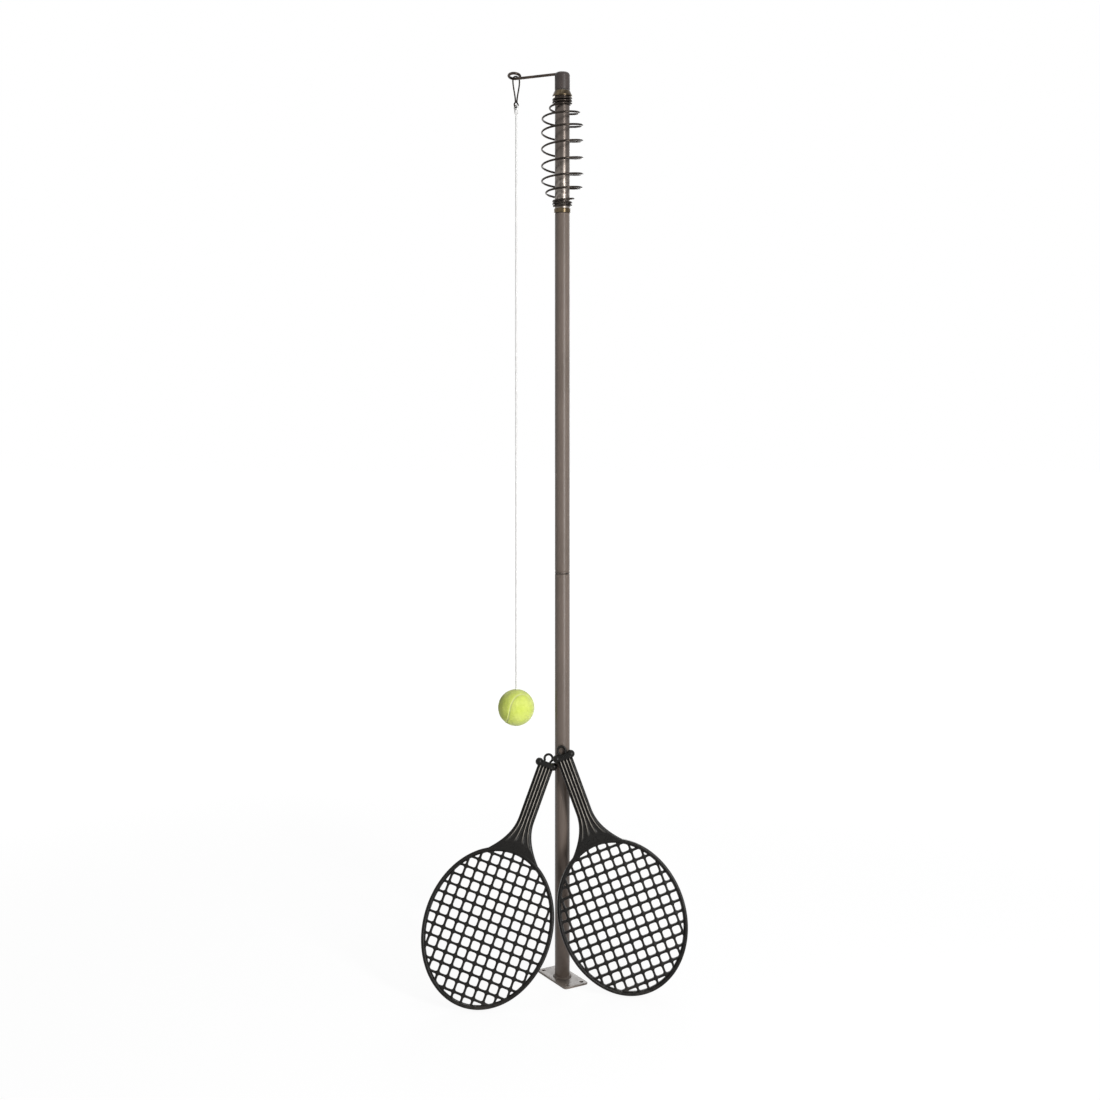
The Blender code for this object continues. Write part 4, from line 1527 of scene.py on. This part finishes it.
    def cells(self) -> list[list[Vector]]:
        """The grid's openings: squares cut off by the oval, with rounded corners.

        Returns:
            The outline of each opening.
        """
        inner_x = self.half_width - self.rim_width - GAP - self.grid_edge
        inner_y = self.half_length - self.rim_width - GAP - self.grid_edge
        half = (self.pitch - self.bar) / 2
        corners = ((-half, -half), (half, -half), (half, half), (-half, half))
        turns = steps(FULL_TURN, 120)[:-1]
        oval = onward([Vector((inner_x * math.cos(t), inner_y * math.sin(t))) for t in turns])
        found = []
        columns, rows = math.ceil(inner_x / self.pitch), math.ceil(inner_y / self.pitch)
        for column in range(-columns, columns):
            for row in range(-rows, rows + 1):
                x, y = (column + 0.5) * self.pitch, row * self.pitch
                near = max(abs(x) - half, 0), max(abs(y) - half, 0)
                if math.hypot(near[0] / inner_x, near[1] / inner_y) > self.cell_reach:
                    continue
                outline = [Vector((x + dx, y + dy)) for dx, dy in corners]
                for first, second in oval:
                    outline = clip(outline, first, second)
                if sum(p.x * q.y - q.x * p.y for p, q in onward(outline)) / 2 > self.cell_least:
                    found.append(self.soften(outline))
        return found

    def grid(self, bm: Shape) -> None:
        """Moulds the grid: flat faces between the openings and a rounded wall in each opening.

        Args:
            bm: Where the grid goes.
        """
        half = self.grid_depth / 2
        upper = [(grow, half - drop) for grow, drop in self.wall_rounds]
        levels = upper + [(grow, -z) for grow, z in reversed(upper)]
        faces: dict[float, list[bmesh.types.BMEdge]] = {half: [], -half: []}
        for outline in self.cells():
            middle = sum(outline, Vector((0, 0))) / len(outline)
            ways = [(point - middle).normalized() for point in outline]
            verts = []
            for grow, z in levels:
                spots = [(*(point + way * grow), z) for point, way in zip(outline, ways)]
                if not verts:
                    verts = [bm.verts.new(spot) for spot in spots]
                    edges = [bm.edges.new(pair) for pair in onward(verts)]
                    faces[half] += edges
                    continue
                made = bmesh.ops.extrude_edge_only(bm, edges=edges)["geom"]
                edges = [e for e in made if isinstance(e, bmesh.types.BMEdge)]
                fresh = {tuple(v.co): v for v in made if isinstance(v, bmesh.types.BMVert)}
                verts = [fresh[tuple(vert.co)] for vert in verts]
                for vert, spot in zip(verts, spots):
                    vert.co = spot
            faces[-half] += edges
        for z, edges in faces.items():
            edges += self.ring_of(bm, self.rim_width - self.grid_lap, z)
            bmesh.ops.triangle_fill(bm, edges=edges, use_beauty=True, normal=UP)

    def handle(self, bm: Shape) -> None:
        """Lofts the throat and the finned handle as one body from the rim to the butt.

        Args:
            bm: Where the handle goes.
        """

        def above(value: float, span: Point2) -> float:
            """How far a value is over a start, in runs of the span, from 0 to 1."""
            return clamp((value - span[0]) / span[1])

        def below(value: float, span: Point2) -> float:
            """How far a value is under a start, in runs of the span, from 0 to 1."""
            return clamp((span[0] - value) / span[1])

        crest = bm.verts.layers.float["crest"]
        middle_x, middle_y = self.half_width - self.rim_width / 2, self.half_length - self.rim_width / 2
        narrow, wide = self.handle_width / 2, self.throat_half_width
        throat = (self.throat_top - middle_y) / (self.butt - middle_y)
        loops = []
        for face in (1, -1):
            made = bmesh.ops.create_grid(bm, x_segments=100, y_segments=150, size=0.5)["verts"]
            for vert in made:
                q, s = vert.co.x * 2, vert.co.y + 0.5
                x = q * (narrow + (wide - narrow) * max(0.0, 1 - s / throat) ** self.flare_power)
                rim = middle_y * math.sqrt(max(0.0, 1 - (q * wide / middle_x) ** 2))
                sag = (middle_y - rim) * max(0.0, 1 - s * self.throat_run) ** 2
                y = middle_y + (self.butt - middle_y) * s - sag
                deeper = (self.handle_depth - self.throat_depth) * min(1, s / throat) ** self.depth_power
                edge = (1 - abs(q) ** self.edge_power) ** 0.5 * self.edge_share + 1 - self.edge_share
                wave = abs(math.sin(math.pi * (q + 1) / 2 * (self.fins - 1)))
                fade = above(s, self.fin_start) * below(s, self.fin_end)
                channel = self.channel_depth * smooth(above(wave, self.channel_span)) * fade
                vert.co = (x, y, face * ((self.throat_depth + deeper) / 2 * edge - channel))
                # The crest attribute marks where the painted highlight goes.
                vert[crest] = below(wave, self.crest_span) * fade * below(abs(q), self.side_span)
            own = set(made)
            loops.append([e for e in bm.edges if e.is_boundary and e.verts[0] in own])
        bmesh.ops.bridge_loops(bm, edges=loops[0] + loops[1])

    def butt_bar(self, bm: Shape) -> None:
        """Turns the butt's cross bar with a bead at each end.

        Args:
            bm: Where the bar goes.
        """
        meet = math.acos(self.waist / self.bead)
        arc = steps(-meet, 14, QUARTER_TURN)
        end = [(self.bead * math.cos(t), self.bead_spacing / 2 + self.bead * math.sin(t)) for t in arc]
        end[0] = (0.0, end[0][1])
        bar = bmesh.new()
        spin_profile(bar, [*end, *[(r, -x) for r, x in reversed(end)]], 40, RIGHT, Vector((0, 1, 0)))
        bmesh.ops.translate(bar, vec=(0, self.butt, 0), verts=bar.verts)
        mesh = bpy.data.meshes.new("bar")
        bar.to_mesh(mesh)
        bar.free()
        bm.from_mesh(mesh)
        bpy.data.meshes.remove(mesh)

    def loop_line(self) -> list[Vector]:
        """The hanging loop's centre line on the butt.

        Returns:
            The line's points, in place.
        """
        radius = (self.loop_hole + self.loop_wire) / 2
        foot_x = radius * math.cos(self.loop_turn)
        away = max(self.bead_spacing / 2 - foot_x - self.loop_wire / 2, 0)
        bead = math.sqrt(max(self.bead**2 - away**2, 0))
        seat = self.butt + max(self.waist, bead) + GAP
        centre = seat + self.loop_foot + radius * math.sin(self.loop_turn)
        turns = steps(math.pi + self.loop_turn, 48, -self.loop_turn)
        ring = [Vector((radius * math.cos(t), centre + radius * math.sin(t), 0)) for t in turns]
        place = self.stand()
        sunk = seat - self.loop_sink
        return [place @ p for p in (Vector((foot_x, sunk, 0)), *ring, Vector((-foot_x, sunk, 0)))]

    def build(self) -> None:
        """Makes and dresses the racket and its loop."""
        bm = bmesh.new()
        bm.verts.layers.float.new("crest")
        self.rim(bm)
        self.grid(bm)
        self.handle(bm)
        self.butt_bar(bm)
        bmesh.ops.transform(bm, matrix=self.stand(), verts=bm.verts)
        racket = finish_mesh(self.name, bm, angle=40)
        node = self.body.value
        dress(racket, RACKET_PLASTIC, self.body, Slot.PLASTIC, f"{node}_frame", f"{node}_grid")
        loop = rod(f"{self.name}_loop", [self.loop_line()], self.loop_wire, sides=5)
        dress(loop, RACKET_PLASTIC, self.body, Slot.PLASTIC, f"{node}_hang_loop")


@dataclass
class HiddenFittings:
    """The inner pieces that show only when the set is taken apart."""

    nodes: dict[str, Piece]

    def build(self) -> None:
        """Gives each inner piece its finish."""
        finishes = {
            "joint_sleeve": TUBE_PLATING,
            "head_sleeve": TUBE_PLATING,
            "spindle": TURNED_STEEL,
            "retaining_ring": TURNED_STEEL,
            "spindle_plug": MOULDED_NYLON,
            "thrust_washer": MOULDED_NYLON,
            "rotor_bush": MOULDED_NYLON,
            "ball_core": BALL_RUBBER,
            "cord_stopper": BALL_RUBBER,
        }
        for name, finish in finishes.items():
            paint(self.nodes[name], finish)


@dataclass
class Studio:
    """The floor, the light, the white surroundings and the camera."""

    camera_place: Colour = (-0.0224, -2.537, 0.997)
    lens: float = 45.6
    sensor: float = 36
    shift: float = -0.109
    nearest: float = 0.05
    floor_half: float = 30
    floor_drop: float = 0.5 * MM
    floor_grey: float = 0.9
    floor_glow: float = 1.06
    shadow_reach: Point2 = (0.8, 3.0)
    glow_share: Point2 = (0.86, 1.0)
    sky_light: float = 0.22

    def floor(self) -> None:
        """Lays the pale floor, which glows white but keeps a faint shadow near the set."""
        bm = bmesh.new()
        bmesh.ops.create_grid(bm, x_segments=1, y_segments=1, size=self.floor_half)
        floor = finish_mesh("floor", bm)
        floor.location.z = -self.floor_drop
        made = bpy.data.materials.new("pale_floor")
        made.use_nodes = True
        made.node_tree.nodes.clear()
        graph = Graph(made.node_tree)
        matt = graph.add("ShaderNodeBsdfDiffuse")
        matt.inputs["Color"].default_value = (*[self.floor_grey] * 3, 1)
        glow = graph.add("ShaderNodeEmission")
        glow.inputs["Strength"].default_value = self.floor_glow
        away = graph.add("ShaderNodeVectorMath", operation="LENGTH")
        graph.feed(away.inputs[0], graph.place())
        share = graph.span(away.outputs["Value"], *self.shadow_reach, *self.glow_share)
        blend = graph.add("ShaderNodeMixShader")
        graph.feed(blend.inputs[0], graph.math("MULTIPLY", graph.seen(), share))
        graph.feed(blend.inputs[1], matt.outputs[0])
        graph.feed(blend.inputs[2], glow.outputs[0])
        out = graph.add("ShaderNodeOutputMaterial")
        graph.feed(out.inputs[0], blend.outputs[0])
        floor.data.materials.append(made)

    def surroundings(self) -> None:
        """Sets white surroundings that light the set softly."""
        world = bpy.data.worlds.new("studio")
        world.use_nodes = True
        bpy.context.scene.world = world
        world.node_tree.nodes.clear()
        graph = Graph(world.node_tree)
        sky = graph.add("ShaderNodeBackground")
        sky.inputs["Color"].default_value = (1, 1, 1, 1)
        graph.feed(sky.inputs["Strength"], graph.span(graph.seen(), 0.0, 1.0, self.sky_light, 1.0))
        out = graph.add("ShaderNodeOutputWorld")
        graph.feed(out.inputs[0], sky.outputs[0])

    def lamp(self, name: str, place: Colour, aim: Colour, size: Point2, power: float) -> None:
        """Hangs one soft lamp.

        Args:
            name: The lamp's name.
            place: Where it hangs.
            aim: What it points at.
            size: Its width and height.
            power: Its power in watts.
        """
        data = bpy.data.lights.new(name, "AREA")
        data.shape = "RECTANGLE"
        data.size, data.size_y = size
        data.energy = power
        lamp = show(name, data)
        lamp.location = place
        lamp.rotation_euler = (Vector(aim) - Vector(place)).to_track_quat("-Z", "Y").to_euler()

    def camera(self) -> None:
        """Stands the level camera where the photograph was taken from."""
        data = bpy.data.cameras.new("photo_camera")
        data.lens = self.lens
        data.sensor_width = self.sensor
        data.shift_y = self.shift
        data.clip_start = self.nearest
        camera = show("photo_camera", data)
        camera.location = self.camera_place
        camera.rotation_euler = (QUARTER_TURN, 0, 0)
        bpy.context.scene.camera = camera

    def build(self) -> None:
        """Sets up the whole studio."""
        bpy.context.scene.view_settings.view_transform = "Standard"
        self.floor()
        self.surroundings()
        self.lamp("key", (1.4, -2.25, 1.25), (0, 0, 0.85), (0.42, 2.3), 68)
        self.lamp("fill", (-2.4, -1.6, 1.5), (0, 0, 0.7), (1.6, 2.0), 3)
        self.lamp("top", (0.2, 0.6, 3.4), (0, 0, 0.8), (1.4, 1.4), 10)
        self.lamp("rear", (0.3, 2.6, 1.5), (0, 0, 0.8), (1.2, 2.0), 22)
        self.camera()


def main() -> None:
    """Builds the studio and the set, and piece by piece."""
    logging.basicConfig(level=logging.INFO)
    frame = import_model()
    Studio().build()
    pole = GroundPole()
    mast = Mast(pole)
    rotor = Rotor(mast)
    link = Link(rotor)
    Tether(link).build()
    pole.build()
    mast.build()
    rotor.build()
    link.build()
    Racket("left_racket", Body.RACKET_LEFT, (-131 * MM, -103 * MM), math.radians(20.2)).build()
    Racket("right_racket", Body.RACKET_RIGHT, (106 * MM, -63 * MM), math.radians(-20.5)).build()
    HiddenFittings(frame["nodes"]).build()


if __name__ == "__main__":
    main()
